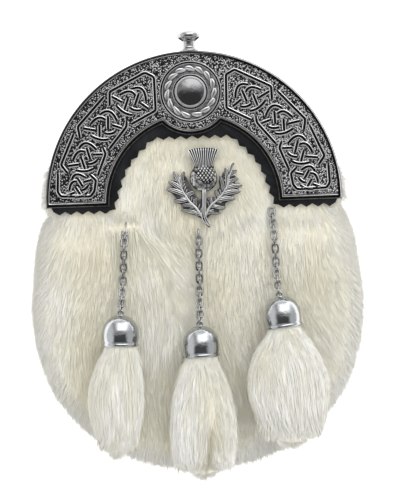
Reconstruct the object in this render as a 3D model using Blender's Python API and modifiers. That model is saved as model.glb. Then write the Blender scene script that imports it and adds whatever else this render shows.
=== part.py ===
"""Dress sporran pouch: the construction solids, one closed body per piece.

The pouch lies on its back: +X is to the right as one looks at its front, +Y is up
the pouch towards the knob, +Z is out of the front, and Z = 0 is the plane of the back.
The sizes and tables below are in millimetres, and every mesh is written in metres.
"""
from math import atan2, cos, degrees, hypot, pi, radians, sin, sqrt

import bmesh
import bpy
import numpy as np
from mathutils import Matrix, Vector

for _old in list(bpy.data.objects):
    bpy.data.objects.remove(_old, do_unlink=True)

MM = 0.001

# ---------------------------------------------------------------- stack along Z
BACK_TOP = 2.0
GUSSET_Z = (2.3, 27.7)
FRONT_Z = (28.0, 30.0)
PELT_UNDER = 30.3
PELT_SEAT = 31.5
PELT_FULL = 37.0
TRIM_Z = (32.7, 34.5)
CANTLE_UNDER = 34.8
FLANGE_TOP = 36.2
FIELD_TOP = 37.0
BEAD_TOP = 37.7
RELIEF_Z = 36.95
BELL_Z = 49.0
KNOB_Z = 31.0
LOOP_Z = 14.0

# ---------------------------------------------------------------- cantle plan
ARCH_R = 79.0
LEG_Y = -2.5
INNER_R = 45.3
INNER_CY = -2.1
LOBE_R = 22.9
BOSS_Y = 57.0
RIM_R = (77.6, 78.8)
RIM_Z = (26.0, 35.3)
BODY_R = 76.3
PELT_R = 77.3
PELT_GAP = 0.9
PELT_COLUMNS = (16, 56)
LOCK_RISE = 0.5
LOCK_REACH = 1.5
SPILL_LOW = 3.2
TRIM_R = 76.8
LEATHER_WALL = 2.0
SEAM_INSET = 1.6

# Plan outline below the horizontal: angle down from +X, leather and fur radius.
OUTLINE = [
    # angle, leather_r, fur_r
    (0.0, 75.0, 76.6),
    (4.0, 75.2, 82.0),
    (7.5, 75.9, 86.5),
    (17.0, 81.4, 93.0),
    (25.7, 88.4, 100.2),
    (33.0, 97.2, 109.2),
    (40.0, 105.6, 117.6),
    (46.7, 113.6, 125.6),
    (53.4, 121.4, 133.4),
    (61.6, 128.6, 140.2),
    (69.0, 132.9, 144.9),
    (79.0, 136.0, 147.8),
    (90.0, 137.0, 149.0),
]

# Gusset: angle up from +X and outer radius above the point where it joins the outline.
GUSSET_NECK = [
    # angle, outer_r
    (46.0, 64.0),
    (5.0, 64.0),
    (-2.0, 66.0),
    (-8.0, 71.0),
    (-14.0, 77.4),
]

# One knot's strands in arch coordinates, t clockwise along the arch and r outwards:
# each runs from its first point through its second to its third, in so many steps.
KNOT_STRANDS = [
    # t0, r0, t1, r1, t2, r2, steps
    (-6.1, -4.6, -7.7, 1.9, -3.3, 4.8, 3),
    (-5.3, 1.0, -2.5, -1.2, 0.2, -3.4, 1),
    (-2.8, 1.1, -1.2, 4.6, 4.2, 5.6, 3),
    (1.1, 1.8, 3.6, -0.3, 6.2, -2.4, 1),
    (4.9, 1.5, 6.6, 4.6, 8.2, 7.4, 1),
    (-5.0, -8.8, -4.0, -6.2, -2.9, -3.6, 1),
    (-1.6, -7.3, 1.3, -5.7, 3.0, -2.9, 2),
    (3.8, -7.1, 7.1, -3.4, 8.6, 2.1, 3),
]
KNOT_R = 62.3
KNOTS = [
    # angle from the vertical, scale
    (30.3, 1.0),
    (49.0, 1.0),
    (67.2, 0.95),
    (81.6, 0.76),
]
WREATH_R = 12.2
WREATH_LEAVES = 18

# Panel frames on the +X side; the -X side mirrors them.
FRAMES = [
    [(43.3, 51.1), (43.1, 58.5), (23.9, 68.1), (19.2, 65.6), (18.9, 47.7), (32.2, 40.8)],
    [(45.9, 56.3), (60.7, 40.4), (59.7, 34.3)],
    [(34.4, 43.1), (34.8, 39.5), (44.7, 27.6)],
    [(62.8, 37.2), (70.3, 20.5), (66.8, 15.7)],
    [(47.8, 29.3), (46.3, 25.5), (50.9, 14.2)],
    [(72.1, 16.6), (72.6, 6.1), (70.8, 3.6), (55.2, 3.1), (53.0, 5.7), (52.0, 11.7), (55.4, 14.9)],
]

# The fur lies low under the trim and the cantle, and rises over a short way from them.
FREE_R = 37.0
FREE_TOP = 31.5
FREE_LEG = -7.4
FREE_START = 4.0
FREE_WAY = 13.0

# Inner edge of the pinked trim: angle up from +X and radius from the arch centre.
TRIM_EDGE = [
    # angle, radius
    (-6.0, 41.5),
    (0.0, 40.9),
    (10.0, 40.0),
    (20.0, 39.6),
    (30.0, 39.1),
    (40.0, 38.4),
    (50.0, 38.2),
    (57.5, 39.0),
]
PINK_STEP = 2.95
PINK_DEPTH = 0.9

# Knob on top of the cantle: height above its seat and radius.
KNOB_PROFILE = [
    # along, radius
    (0.0, 4.7),
    (1.3, 4.7),
    (1.9, 3.6),
    (5.4, 3.6),
    (6.2, 5.0),
    (7.0, 6.2),
    (8.6, 6.4),
    (10.2, 5.6),
    (11.2, 3.4),
]

# Bell cap: distance down from its top, outer radius.
BELL_PROFILE = [
    # along, radius
    (0.0, 2.2),
    (1.2, 5.0),
    (3.6, 7.6),
    (7.0, 9.4),
    (10.8, 9.85),
    (14.6, 9.4),
    (16.4, 8.7),
]
BELL_WALL = 0.9
BELL_SIDES = 14
EYE_RISE = 1.5
EYE_R = 1.95
EYE_WIRE = 1.2
TASSEL_COLUMNS = 18

BELLS = [
    # side, top_x, top_y, turn in degrees from straight down towards +X
    ("left", -40.9, -60.4, -2.0),
    ("centre", 0.6, -67.5, 2.0),
    ("right", 43.2, -53.5, 7.0),
]

HAIR = {
    # side: rows of y, left x, right x, half thickness
    "left": [
        (-80.6, -51.5, -32.0, 8.2),
        (-93.2, -58.2, -29.8, 9.6),
        (-106.0, -60.2, -29.4, 10.0),
        (-117.0, -58.2, -31.0, 9.0),
        (-125.0, -53.0, -36.4, 6.2),
    ],
    "centre": [
        (-88.0, -9.8, 10.8, 8.2),
        (-99.5, -14.2, 15.6, 9.6),
        (-113.0, -16.9, 18.4, 10.2),
        (-126.0, -17.4, 18.8, 9.6),
        (-137.5, -12.4, 13.4, 6.8),
    ],
    "right": [
        (-75.0, 34.4, 57.0, 8.4),
        (-84.0, 27.6, 63.4, 9.8),
        (-96.0, 24.2, 68.0, 10.4),
        (-108.0, 24.8, 67.8, 9.8),
        (-119.0, 34.6, 61.4, 7.0),
    ],
}
HAIR_TIP = {"left": (-45.6, -131.0), "centre": (0.2, -143.5), "right": (47.4, -128.6)}

CHAIN_WIDE = 3.6
CHAIN_STEP = 7.0
CHAINS = {
    # side: rows of x, y, z along the chain's middle line, from the trim to its bell
    "left": [(-36.6, -8.4, 33.7), (-36.9, -12.6, 35.0), (-37.6, -18.4, 38.4), (-38.2, -25.0, 40.0),
             (-39.3, -42.0, 40.2), (-40.1, -49.4, 42.6), (-40.6, -54.7, 46.8)],
    "centre": [(1.6, -19.0, 38.6), (1.6, -24.0, 39.6), (1.4, -31.0, 40.0),
               (1.2, -48.0, 40.2), (0.9, -56.4, 42.8), (0.7, -61.8, 46.8)],
    "right": [(41.2, -8.4, 33.7), (41.4, -12.6, 35.0), (41.8, -18.4, 38.4),
              (42.0, -24.0, 40.0), (42.3, -36.0, 40.4), (42.6, -42.6, 42.8), (42.8, -47.8, 46.8)],
}

# Strap loops behind the cantle: where the plate stands and the wire's thickness.
LOOP_ANGLE = 14.0
LOOP_PLATE_R = 65.1
LOOP_PLATE = (1.2, 17.0, 7.2)
LOOP_WIRE = 2.4
LOOP_LINE = [
    # radius, sideways
    (LOOP_PLATE_R, -6.4), (68.6, -6.4), (71.8, -5.0), (73.6, -2.4),
]

# Thistle badge, outlines about the middle of its bulb.
BADGE_AT = (5.4, 10.8)
BADGE_Z = (36.9, 38.6)
STEM = [
    # x, y
    (-1.3, -6.0), (-1.2, -14.0), (-1.6, -20.0), (-0.4, -23.4), (2.0, -26.2), (3.2, -25.6),
    (2.0, -22.0), (1.4, -14.0), (1.3, -6.0),
]
TUFT = [
    # x, y
    (-4.8, 5.0), (-4.6, 7.0), (-8.2, 15.4), (-4.0, 16.2), (0.4, 16.5), (5.0, 16.2),
    (9.0, 15.2), (5.4, 7.0), (5.6, 5.0),
]
TUFT_RIBS = 8
LEAF_RIGHT = [
    # x, y
    (0.6, -22.6), (3.6, -20.2), (8.6, -19.2), (8.0, -17.4), (12.2, -15.4), (12.0, -13.8),
    (16.3, -11.6), (15.6, -9.6), (20.2, -6.0), (17.6, -3.0), (19.0, 0.4), (16.8, 1.8),
    (16.2, 7.2), (13.6, 3.2), (11.6, 5.0), (9.7, 3.2), (9.2, 0.4), (7.9, -1.6),
    (8.6, -5.2), (6.3, -7.6), (6.6, -10.0), (3.4, -11.0), (1.0, -10.2),
]
LEAF_LEFT = [
    # x, y
    (-1.0, -10.4), (-3.4, -12.4), (-3.6, -8.4), (-5.4, -7.0), (-7.6, -2.4), (-8.7, 0.2),
    (-10.4, 3.4), (-12.4, 1.0), (-17.3, 3.8), (-15.9, -0.4), (-19.2, -1.0), (-17.2, -4.4),
    (-19.9, -6.6), (-15.2, -11.0), (-15.8, -13.3), (-12.3, -14.2), (-12.1, -17.1),
    (-7.0, -18.4), (-3.4, -21.8), (-0.6, -23.0),
]
VEINS = [
    # x0, y0, x1, y1: veins of the right leaf, mirrored for the left
    (1.6, -20.0, 13.4, -1.4),
    (5.2, -14.8, 11.4, -14.2),
    (7.4, -11.4, 15.6, -8.6),
    (9.6, -7.8, 16.6, -4.2),
    (12.6, -2.4, 15.2, 3.6),
]


# ---------------------------------------------------------------- materials
def principled(name, colour, roughness, metallic):
    """Return a Principled BSDF material with the piece's base look."""
    material = bpy.data.materials.new(name)
    material.use_nodes = True
    shader = material.node_tree.nodes["Principled BSDF"]
    shader.inputs["Base Color"].default_value = (*colour, 1.0)
    shader.inputs["Roughness"].default_value = roughness
    shader.inputs["Metallic"].default_value = metallic
    material.diffuse_color = (*colour, 1.0)
    return material


ANTIQUE = principled("antique_metal", (0.30, 0.30, 0.31), 0.35, 1.0)
SILVER = principled("badge_metal", (0.50, 0.50, 0.51), 0.32, 1.0)
CHROME = principled("chrome", (0.78, 0.79, 0.80), 0.10, 1.0)
STEEL = principled("chain_steel", (0.55, 0.56, 0.57), 0.25, 1.0)
BLACK_LEATHER = principled("black_leather", (0.014, 0.015, 0.018), 0.45, 0.0)
WHITE_FUR = principled("white_fur", (0.84, 0.81, 0.72), 0.85, 0.0)

PIECES = bpy.data.collections.new("sporran_pouch")
HELPERS = bpy.data.collections.new("construction")
for _collection in (PIECES, HELPERS):
    bpy.context.scene.collection.children.link(_collection)


# ---------------------------------------------------------------- object helpers
def add_object(name, data, material, helper=False):
    """Link a mesh or curve as a piece, or as a wire-drawn helper for a Boolean."""
    data.materials.append(material)
    obj = bpy.data.objects.new(name, data)
    (HELPERS if helper else PIECES).objects.link(obj)
    if helper:
        obj.hide_render = True
        obj.display_type = "WIRE"
    return obj


def outward_mesh(name, work):
    """Write a bmesh built in millimetres to a mesh in metres, faces outwards."""
    bmesh.ops.recalc_face_normals(work, faces=work.faces)
    bmesh.ops.scale(work, vec=(MM, MM, MM), verts=work.verts)
    mesh = bpy.data.meshes.new(name)
    work.to_mesh(mesh)
    work.free()
    return mesh


def plate(name, outline, low, high, material, helper=False):
    """A flat piece: a filled 2D curve with half its thickness as extrude."""
    curve = bpy.data.curves.new(name, "CURVE")
    curve.dimensions = "2D"
    curve.fill_mode = "BOTH"
    curve.extrude = (high - low) / 2 * MM
    spline = curve.splines.new("POLY")
    spline.points.add(len(outline) - 1)
    for point, (x, y) in zip(spline.points, outline):
        point.co = (x * MM, y * MM, 0.0, 1.0)
    spline.use_cyclic_u = True
    obj = add_object(name, curve, material, helper)
    obj.location.z = (low + high) / 2 * MM
    return obj


def rods(name, paths, radius, resolution, material, closed=False, helper=False):
    """Round or four-sided rods along poly paths of x, y, z, as one curve object."""
    curve = bpy.data.curves.new(name, "CURVE")
    curve.dimensions = "3D"
    curve.twist_mode = "Z_UP"
    curve.bevel_depth = radius * MM
    curve.bevel_resolution = resolution
    curve.use_fill_caps = True
    for path in paths:
        spline = curve.splines.new("POLY")
        spline.points.add(len(path) - 1)
        for point, (x, y, z) in zip(spline.points, path):
            point.co = (x * MM, y * MM, z * MM, 1.0)
        spline.use_cyclic_u = closed
    return add_object(name, curve, material, helper)


def to_mesh(obj):
    """Replace a curve object by its welded mesh, so that it can take a Boolean."""
    depsgraph = bpy.context.evaluated_depsgraph_get()
    mesh = bpy.data.meshes.new_from_object(obj.evaluated_get(depsgraph))
    work = bmesh.new()
    work.from_mesh(mesh)
    bmesh.ops.remove_doubles(work, verts=work.verts, dist=1e-6)
    bmesh.ops.recalc_face_normals(work, faces=work.faces)
    work.to_mesh(mesh)
    work.free()
    new = bpy.data.objects.new(obj.name, mesh)
    new.matrix_world = obj.matrix_basis.copy()
    new.hide_render = obj.hide_render
    new.display_type = obj.display_type
    for collection in obj.users_collection:
        collection.objects.link(new)
    name = obj.name
    bpy.data.objects.remove(obj)
    new.name = name
    return new


def fuse(base, helper, self_cross=False):
    """Union a helper with base, as a live exact Boolean."""
    step = base.modifiers.new(helper.name, "BOOLEAN")
    step.operation = "UNION"
    step.solver = "EXACT"
    step.use_self = self_cross
    step.object = helper


def turned(name, profile, sides, material):
    """A turned piece about its own Z: an open profile of (along, radius) with a Screw."""
    work = bmesh.new()
    spots = [work.verts.new((radius, 0.0, along)) for along, radius in profile]
    for a, b in zip(spots, spots[1:]):
        work.edges.new((a, b))
    bmesh.ops.scale(work, vec=(MM, MM, MM), verts=work.verts)
    mesh = bpy.data.meshes.new(name)
    work.to_mesh(mesh)
    work.free()
    obj = add_object(name, mesh, material)
    screw = obj.modifiers.new("turn", "SCREW")
    screw.steps = screw.render_steps = sides
    screw.use_merge_vertices = True
    screw.merge_threshold = 1e-5
    screw.use_normal_calculate = True
    return obj


def loft(name, rings, material, helper=False):
    """Skin closed rings of points, a ring of one point being a pole."""
    work = bmesh.new()
    levels = [[work.verts.new(p) for p in ring] for ring in rings]
    for low, high in zip(levels, levels[1:]):
        count = max(len(low), len(high))
        for j in range(count):
            i = (j + 1) % count
            if len(low) == 1:
                work.faces.new((low[0], high[i], high[j]))
            elif len(high) == 1:
                work.faces.new((low[j], low[i], high[0]))
            else:
                work.faces.new((low[j], low[i], high[i], high[j]))
    for ring in (levels[0], levels[-1]):
        if len(ring) > 1:
            work.faces.new(ring)
    return add_object(name, outward_mesh(name, work), material, helper)


def strip(name, path, low, high, wall, material, helper=False):
    """A standing strip along a plan path, an open surface with Solidify inwards."""
    work = bmesh.new()
    spots = [work.verts.new((x, y, low)) for x, y in path]
    edges = [work.edges.new(pair) for pair in zip(spots, spots[1:])]
    raised = bmesh.ops.extrude_edge_only(work, edges=edges)["geom"]
    bmesh.ops.translate(work, vec=(0.0, 0.0, high - low),
                        verts=[item for item in raised if isinstance(item, bmesh.types.BMVert)])
    bmesh.ops.recalc_face_normals(work, faces=work.faces)
    work.faces.ensure_lookup_table()
    first = work.faces[0]
    if first.normal.dot(first.calc_center_median() - Vector((0.0, 0.0, (low + high) / 2))) < 0:
        bmesh.ops.reverse_faces(work, faces=work.faces)
    bmesh.ops.scale(work, vec=(MM, MM, MM), verts=work.verts)
    mesh = bpy.data.meshes.new(name)
    work.to_mesh(mesh)
    work.free()
    obj = add_object(name, mesh, material, helper)
    wall_step = obj.modifiers.new("wall", "SOLIDIFY")
    wall_step.thickness = wall * MM
    wall_step.offset = -1.0
    wall_step.use_even_offset = True
    return obj


# ---------------------------------------------------------------- plan helpers
def polar(radius, angle, cx=0.0, cy=0.0):
    """Plan point at a radius and an angle in degrees."""
    return cx + radius * cos(radians(angle)), cy + radius * sin(radians(angle))


def arc(cx, cy, radius, start, stop, steps):
    """Points on an arc, angles in degrees, both ends included."""
    return [polar(radius, start + (stop - start) * k / steps, cx, cy) for k in range(steps + 1)]


def bend(p0, p1, p2, steps):
    """Points on the parabola that passes through three points."""
    out = []
    for k in range(steps + 1):
        t = k / steps
        a, b, c = (1 - t) * (1 - 2 * t), 4 * t * (1 - t), t * (2 * t - 1)
        out.append((a * p0[0] + b * p1[0] + c * p2[0], a * p0[1] + b * p1[1] + c * p2[1]))
    return out


def mirror(path):
    """The same plan path on the other side of the Y axis."""
    return [(-x, y) for x, y in path]


def lift(path, z):
    """Give a plan path a height."""
    return [(x, y, z) for x, y in path]


def resample(path, step):
    """Walk a polyline of any dimension in equal steps close to the asked step."""
    pts = np.array(path)
    along = np.concatenate([[0.0], np.cumsum(np.linalg.norm(np.diff(pts, axis=0), axis=1))])
    count = max(2, round(along[-1] / step))
    at = np.linspace(0.0, along[-1], count + 1)
    return np.column_stack([np.interp(at, along, pts[:, axis]) for axis in range(pts.shape[1])])


def smooth(path, per_span=6):
    """A Catmull-Rom curve through the points of a path."""
    pts = np.array(path)
    pts = np.vstack([2 * pts[0] - pts[1], pts, 2 * pts[-1] - pts[-2]])
    t = (np.arange(per_span) / per_span)[:, None]
    spans = []
    for a, b, c, d in zip(pts, pts[1:], pts[2:], pts[3:]):
        spans.append(0.5 * (2 * b + (c - a) * t + (2 * a - 5 * b + 4 * c - d) * t ** 2
                            + (3 * b - a - 3 * c + d) * t ** 3))
    return np.vstack(spans + [pts[-2:-1]])


_TABLE = np.array(OUTLINE)


def outline_r(angle_down, column):
    """Radius of the leather (1) or fur (2) outline, angle in degrees below +X."""
    return float(np.interp(angle_down, _TABLE[:, 0], _TABLE[:, column]))


def below(angle):
    """Degrees below the nearer side's horizontal, for an angle from +X round by the top."""
    return min(angle - 180.0, 360.0 - angle) if angle > 180.0 else 0.0


def body_outline(upper=20, lower=28):
    """Plan outline of the leather panels, round from +X by the top."""
    low = [180.0 + 180.0 * k / lower for k in range(1, lower)]
    return arc(0, 0, BODY_R, 0, 180, upper) + [polar(outline_r(below(a), 1), a) for a in low]


# ---------------------------------------------------------------- leather body
def make_body():
    """Back, front and gusset: the hollow leather box, open at its mouth."""
    plate("back_panel", body_outline(), 0.0, BACK_TOP, BLACK_LEATHER)
    plate("front_panel", body_outline(), *FRONT_Z, BLACK_LEATHER)
    neck = np.array(GUSSET_NECK)[::-1]
    half = [46.0, 32.0, 18.5, 5.0, -2.0, -8.0, -14.0] + list(np.linspace(-20.0, -90.0, 14))
    path = []
    for angle in half:
        radius = float(np.interp(angle, neck[:, 0], neck[:, 1])) if angle > -14.0 \
            else outline_r(-angle, 1) - SEAM_INSET
        path.append(polar(radius, angle))
    strip("gusset", path + mirror(path[-2::-1]), *GUSSET_Z, LEATHER_WALL, BLACK_LEATHER)


# ---------------------------------------------------------------- fur pelt
def pelt_height(x, y):
    """Height of the pelt's locks over the front panel, and how far it is clear of the trim."""
    free = max(FREE_R - hypot(x, y), FREE_LEG - y)
    if y > 0:
        free = min(free, FREE_TOP - y)
    rise = min(1.0, max(0.0, (free - FREE_START) / FREE_WAY))
    rise = rise * rise * (3 - 2 * rise)
    full = PELT_FULL - 1.0 + min(1.0, max(0.0, (-22.0 - y) / 18.0))
    return PELT_SEAT + (full - PELT_SEAT) * rise, rise


def make_pelt():
    """The fur body: a backing with locks that point down and outwards."""
    upper, lower = PELT_COLUMNS
    angles = [180.0 * k / upper for k in range(upper)]
    angles += [180.0 + 180.0 * k / lower for k in range(lower)]
    rings = [[] for _ in range(12)]
    for j, angle in enumerate(angles):
        c, s = polar(1.0, angle)
        spill = min(1.0, max(0.0, (below(angle) - 1.0) / 7.0))
        lock = 1.0 if j % 2 else -1.0
        fur = outline_r(below(angle), 2) if spill > 0 else PELT_R
        wall = max(outline_r(below(angle), 1) + PELT_GAP, PELT_R - 0.4)
        edge = fur + (LOCK_REACH * lock - 0.4) * spill
        for k, share in enumerate((0.13, 0.27, 0.41, 0.55, 0.69, 0.82, 0.94)):
            radius = share * fur
            z, rise = pelt_height(radius * c, radius * s)
            if k < 6:
                z += LOCK_RISE * rise * (lock if (k // 2 + j // 2) % 2 else -lock)
            else:
                z -= 1.6 * spill * rise
            rings[k].append((radius * c, radius * s, z))
        levels = (
            # radius, height where it lies under the cantle, height where it spills
            (edge, PELT_SEAT - 0.2, 21.0),
            (edge - 0.1 - 3.9 * spill, PELT_SEAT - 0.8, SPILL_LOW + 1.0 + lock),
            (wall + 0.1, PELT_UNDER + 0.1, SPILL_LOW),
            (wall, PELT_UNDER, PELT_UNDER),
        )
        for k, (radius, covered, spilled) in enumerate(levels):
            rings[7 + k].append((radius * c, radius * s, covered + (spilled - covered) * spill))
        rings[11].append((0.5 * fur * c, 0.5 * fur * s, PELT_UNDER))
    top = [(0.0, 0.0, pelt_height(0, 0)[0])]
    loft("fur_pelt", [top] + rings + [[(0.0, 0.0, PELT_UNDER)]], WHITE_FUR)


# ---------------------------------------------------------------- trim
def make_trim():
    """Black leather under the cantle, with its pinked edge."""
    inner = [polar(radius, angle) for angle, radius in TRIM_EDGE]
    half = [(75.4, -5.5), (43.4, -5.5)] + inner[1:] + [(10.0, 32.9), (0.0, 32.9)]
    walk = resample(half, PINK_STEP)
    if len(walk) % 2 == 0:
        walk = resample(half, PINK_STEP * (len(walk) - 1) / len(walk))
    whole = np.concatenate([walk, (walk * (-1, 1))[-2::-1]])
    ahead = np.gradient(whole, axis=0)
    side = np.column_stack([-ahead[:, 1], ahead[:, 0]]) / np.linalg.norm(ahead, axis=1)[:, None]
    sign = np.where(np.arange(len(whole)) % 2 == 0, -1.0, 1.0)
    edge = whole + side * (sign * PINK_DEPTH)[:, None]
    outer = arc(0, 0, TRIM_R, 180.0 + 1.5, -1.5, 24)
    plate("pinked_trim", [tuple(p) for p in edge] + outer, *TRIM_Z, BLACK_LEATHER)


# ---------------------------------------------------------------- cantle
def cantle_ring(inset, z_in, bevel, z_out):
    """One level line of the cantle's plate, round from its lower right corner."""
    r_in, r_lobe, r_out = INNER_R + inset, LOBE_R - inset, ARCH_R - bevel
    leg = LEG_Y + inset
    gap = BOSS_Y - INNER_CY
    cusp_y = INNER_CY + (r_in ** 2 - r_lobe ** 2 + gap ** 2) / (2 * gap)
    cusp_x = sqrt(r_in ** 2 - (cusp_y - INNER_CY) ** 2)
    start = degrees(atan2(leg, sqrt(r_out ** 2 - leg ** 2)))
    outer = arc(0, 0, r_out, start, 180 - start, 36)
    a0 = degrees(atan2(leg - INNER_CY, -sqrt(r_in ** 2 - (leg - INNER_CY) ** 2))) % 360
    a1 = degrees(atan2(cusp_y - INNER_CY, -cusp_x))
    b0 = degrees(atan2(cusp_y - BOSS_Y, -cusp_x)) % 360
    b1 = degrees(atan2(cusp_y - BOSS_Y, cusp_x)) % 360
    inner = arc(0, INNER_CY, r_in, a0, a1, 9)
    lobe = arc(0, BOSS_Y, r_lobe, b0, b1, 10)[1:-1]
    return lift(outer, z_out) + lift(inner + lobe + mirror(inner[::-1]), z_in)


def arch_point(angle, along, out, scale, side):
    """Plan point of a knot's arch coordinates at an angle from the vertical."""
    rad = Vector((sin(radians(angle)), cos(radians(angle))))
    tan = Vector((cos(radians(angle)), -sin(radians(angle))))
    spot = rad * (KNOT_R + out * scale) + tan * (along * scale)
    return side * spot.x, spot.y


def knot_paths():
    """The strands of all eight knots, broken where each passes under another."""
    paths = []
    for side in (1, -1):
        for angle, scale in KNOTS:
            for t0, r0, t1, r1, t2, r2, steps in KNOT_STRANDS:
                ends = [arch_point(angle, t, r, scale, side) for t, r in ((t0, r0), (t1, r1), (t2, r2))]
                paths.append(lift(bend(*ends, steps), RELIEF_Z))
    return paths


def wreath(name):
    """The leaves round the boss: six-sided cut stones of metal, one mesh."""
    work = bmesh.new()
    for k in range(WREATH_LEAVES):
        turn = 360.0 * k / WREATH_LEAVES
        x, y = polar(WREATH_R, turn, 0.0, BOSS_Y)
        place = (Matrix.Translation((x, y, RELIEF_Z)) @ Matrix.Rotation(radians(turn + 90.0 + 24.0), 4, "Z")
                 @ Matrix.Diagonal((2.5, 1.2, 0.95, 1.0)))
        bmesh.ops.create_cone(work, cap_ends=True, cap_tris=False, segments=6, radius1=1.0,
                              radius2=0.35, depth=1.0, matrix=place @ Matrix.Translation((0, 0, 0.4)))
    return add_object(name, outward_mesh(name, work), ANTIQUE, helper=True)


def make_cantle():
    """The cast plate: flange, bead and field as level lines, relief fused on."""
    levels = [
        # inset, height inside, bevel, height outside
        (0.0, CANTLE_UNDER, 0.0, CANTLE_UNDER),
        (0.0, FLANGE_TOP, 0.0, 36.5),
        (1.8, FLANGE_TOP + 0.1, 0.5, 37.3),
        (2.1, BEAD_TOP, 0.8, BEAD_TOP),
        (2.9, BEAD_TOP, 1.5, BEAD_TOP),
        (3.5, FIELD_TOP, 2.0, FIELD_TOP),
    ]
    cantle = loft("cantle", [cantle_ring(*level) for level in levels], ANTIQUE)
    rim = strip("cantle_rim", arc(0, 0, RIM_R[1], 4.0, 176.0, 34), *RIM_Z,
                RIM_R[1] - RIM_R[0], ANTIQUE, helper=True)
    fuse(cantle, rim)
    boss_rings = [
        # radius, rod radius, points
        (8.3, 1.0, 26),
        (16.1, 0.62, 32),
    ]
    for radius, rod, count in boss_rings:
        ring = lift(arc(0, BOSS_Y, radius, 0, 360 - 360 / count, count - 1), RELIEF_Z)
        fuse(cantle, to_mesh(rods(f"boss_ring_{count}", [ring], rod, 0, ANTIQUE, True, True)))
    frames = [lift(path, RELIEF_Z) for frame in FRAMES for path in (frame, mirror(frame))]
    fuse(cantle, to_mesh(rods("panel_frames", frames, 0.72, 0, ANTIQUE, helper=True)), True)
    fuse(cantle, to_mesh(rods("knots", knot_paths(), 0.78, 0, ANTIQUE, helper=True)), True)
    fuse(cantle, wreath("wreath"))


def make_dome():
    """Polished dome in the boss's bezel."""
    profile = [(0.0, 0.0), (0.0, 7.0), (0.6, 7.0), (2.1, 5.9), (3.1, 3.4), (3.4, 0.0)]
    dome = turned("centre_dome", profile, 22, CHROME)
    dome.location = (0.0, BOSS_Y * MM, (FIELD_TOP + 0.3) * MM)


def make_knob():
    """Turned knob standing on the cantle's rim, its axis along +Y."""
    profile = [(0.0, 0.0)] + KNOB_PROFILE + [(KNOB_PROFILE[-1][0] + 0.3, 0.0)]
    knob = turned("cantle_knob", profile, 16, CHROME)
    knob.location = (0.0, (ARCH_R + 0.3) * MM, KNOB_Z * MM)
    knob.rotation_euler.x = radians(-90.0)


# ---------------------------------------------------------------- badge
def make_badge():
    """Thistle: tuft, bulb, stem and two leaves, cast in one."""
    ox, oy = BADGE_AT
    low, top = BADGE_Z

    def at(points):
        return [(ox + x, oy + y) for x, y in points]

    badge = to_mesh(plate("thistle_badge", at(STEM), low, top + 0.5, SILVER))
    plates = [
        ("leaf_right", LEAF_RIGHT, low + 0.05, top),
        ("leaf_left", LEAF_LEFT, low + 0.1, top - 0.05),
        ("tuft", TUFT, low + 0.2, top + 1.2),
    ]
    for name, outline, z0, z1 in plates:
        fuse(badge, to_mesh(plate(name, at(outline), z0, z1, SILVER, helper=True)))
    work = bmesh.new()
    bmesh.ops.create_uvsphere(work, u_segments=16, v_segments=8, radius=1.0, matrix=(
        Matrix.Translation((ox, oy, low + 1.2)) @ Matrix.Diagonal((7.4, 7.4, 3.6, 1.0))))
    bmesh.ops.bisect_plane(work, geom=work.verts[:] + work.edges[:] + work.faces[:],
                           plane_co=(0, 0, low + 0.15), plane_no=(0, 0, -1), clear_outer=True)
    bmesh.ops.contextual_create(work, geom=[e for e in work.edges if e.is_boundary])
    fuse(badge, add_object("bulb", outward_mesh("bulb", work), SILVER, helper=True))
    veins = [lift(at([(side * x0, y0), (side * x1, y1)]), top)
             for side in (1, -1) for x0, y0, x1, y1 in VEINS]
    fuse(badge, to_mesh(rods("veins", veins, 0.7, 0, SILVER, helper=True)), True)
    ribs = [lift(at([(0.4 + 4.3 * share, 6.4), (0.4 + 7.9 * share, 15.6 - 0.6 * share * share)]), top + 1.2)
            for share in np.linspace(-1.0, 1.0, TUFT_RIBS)]
    fuse(badge, to_mesh(rods("tuft_ribs", ribs, 0.55, 0, SILVER, helper=True)))


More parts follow.
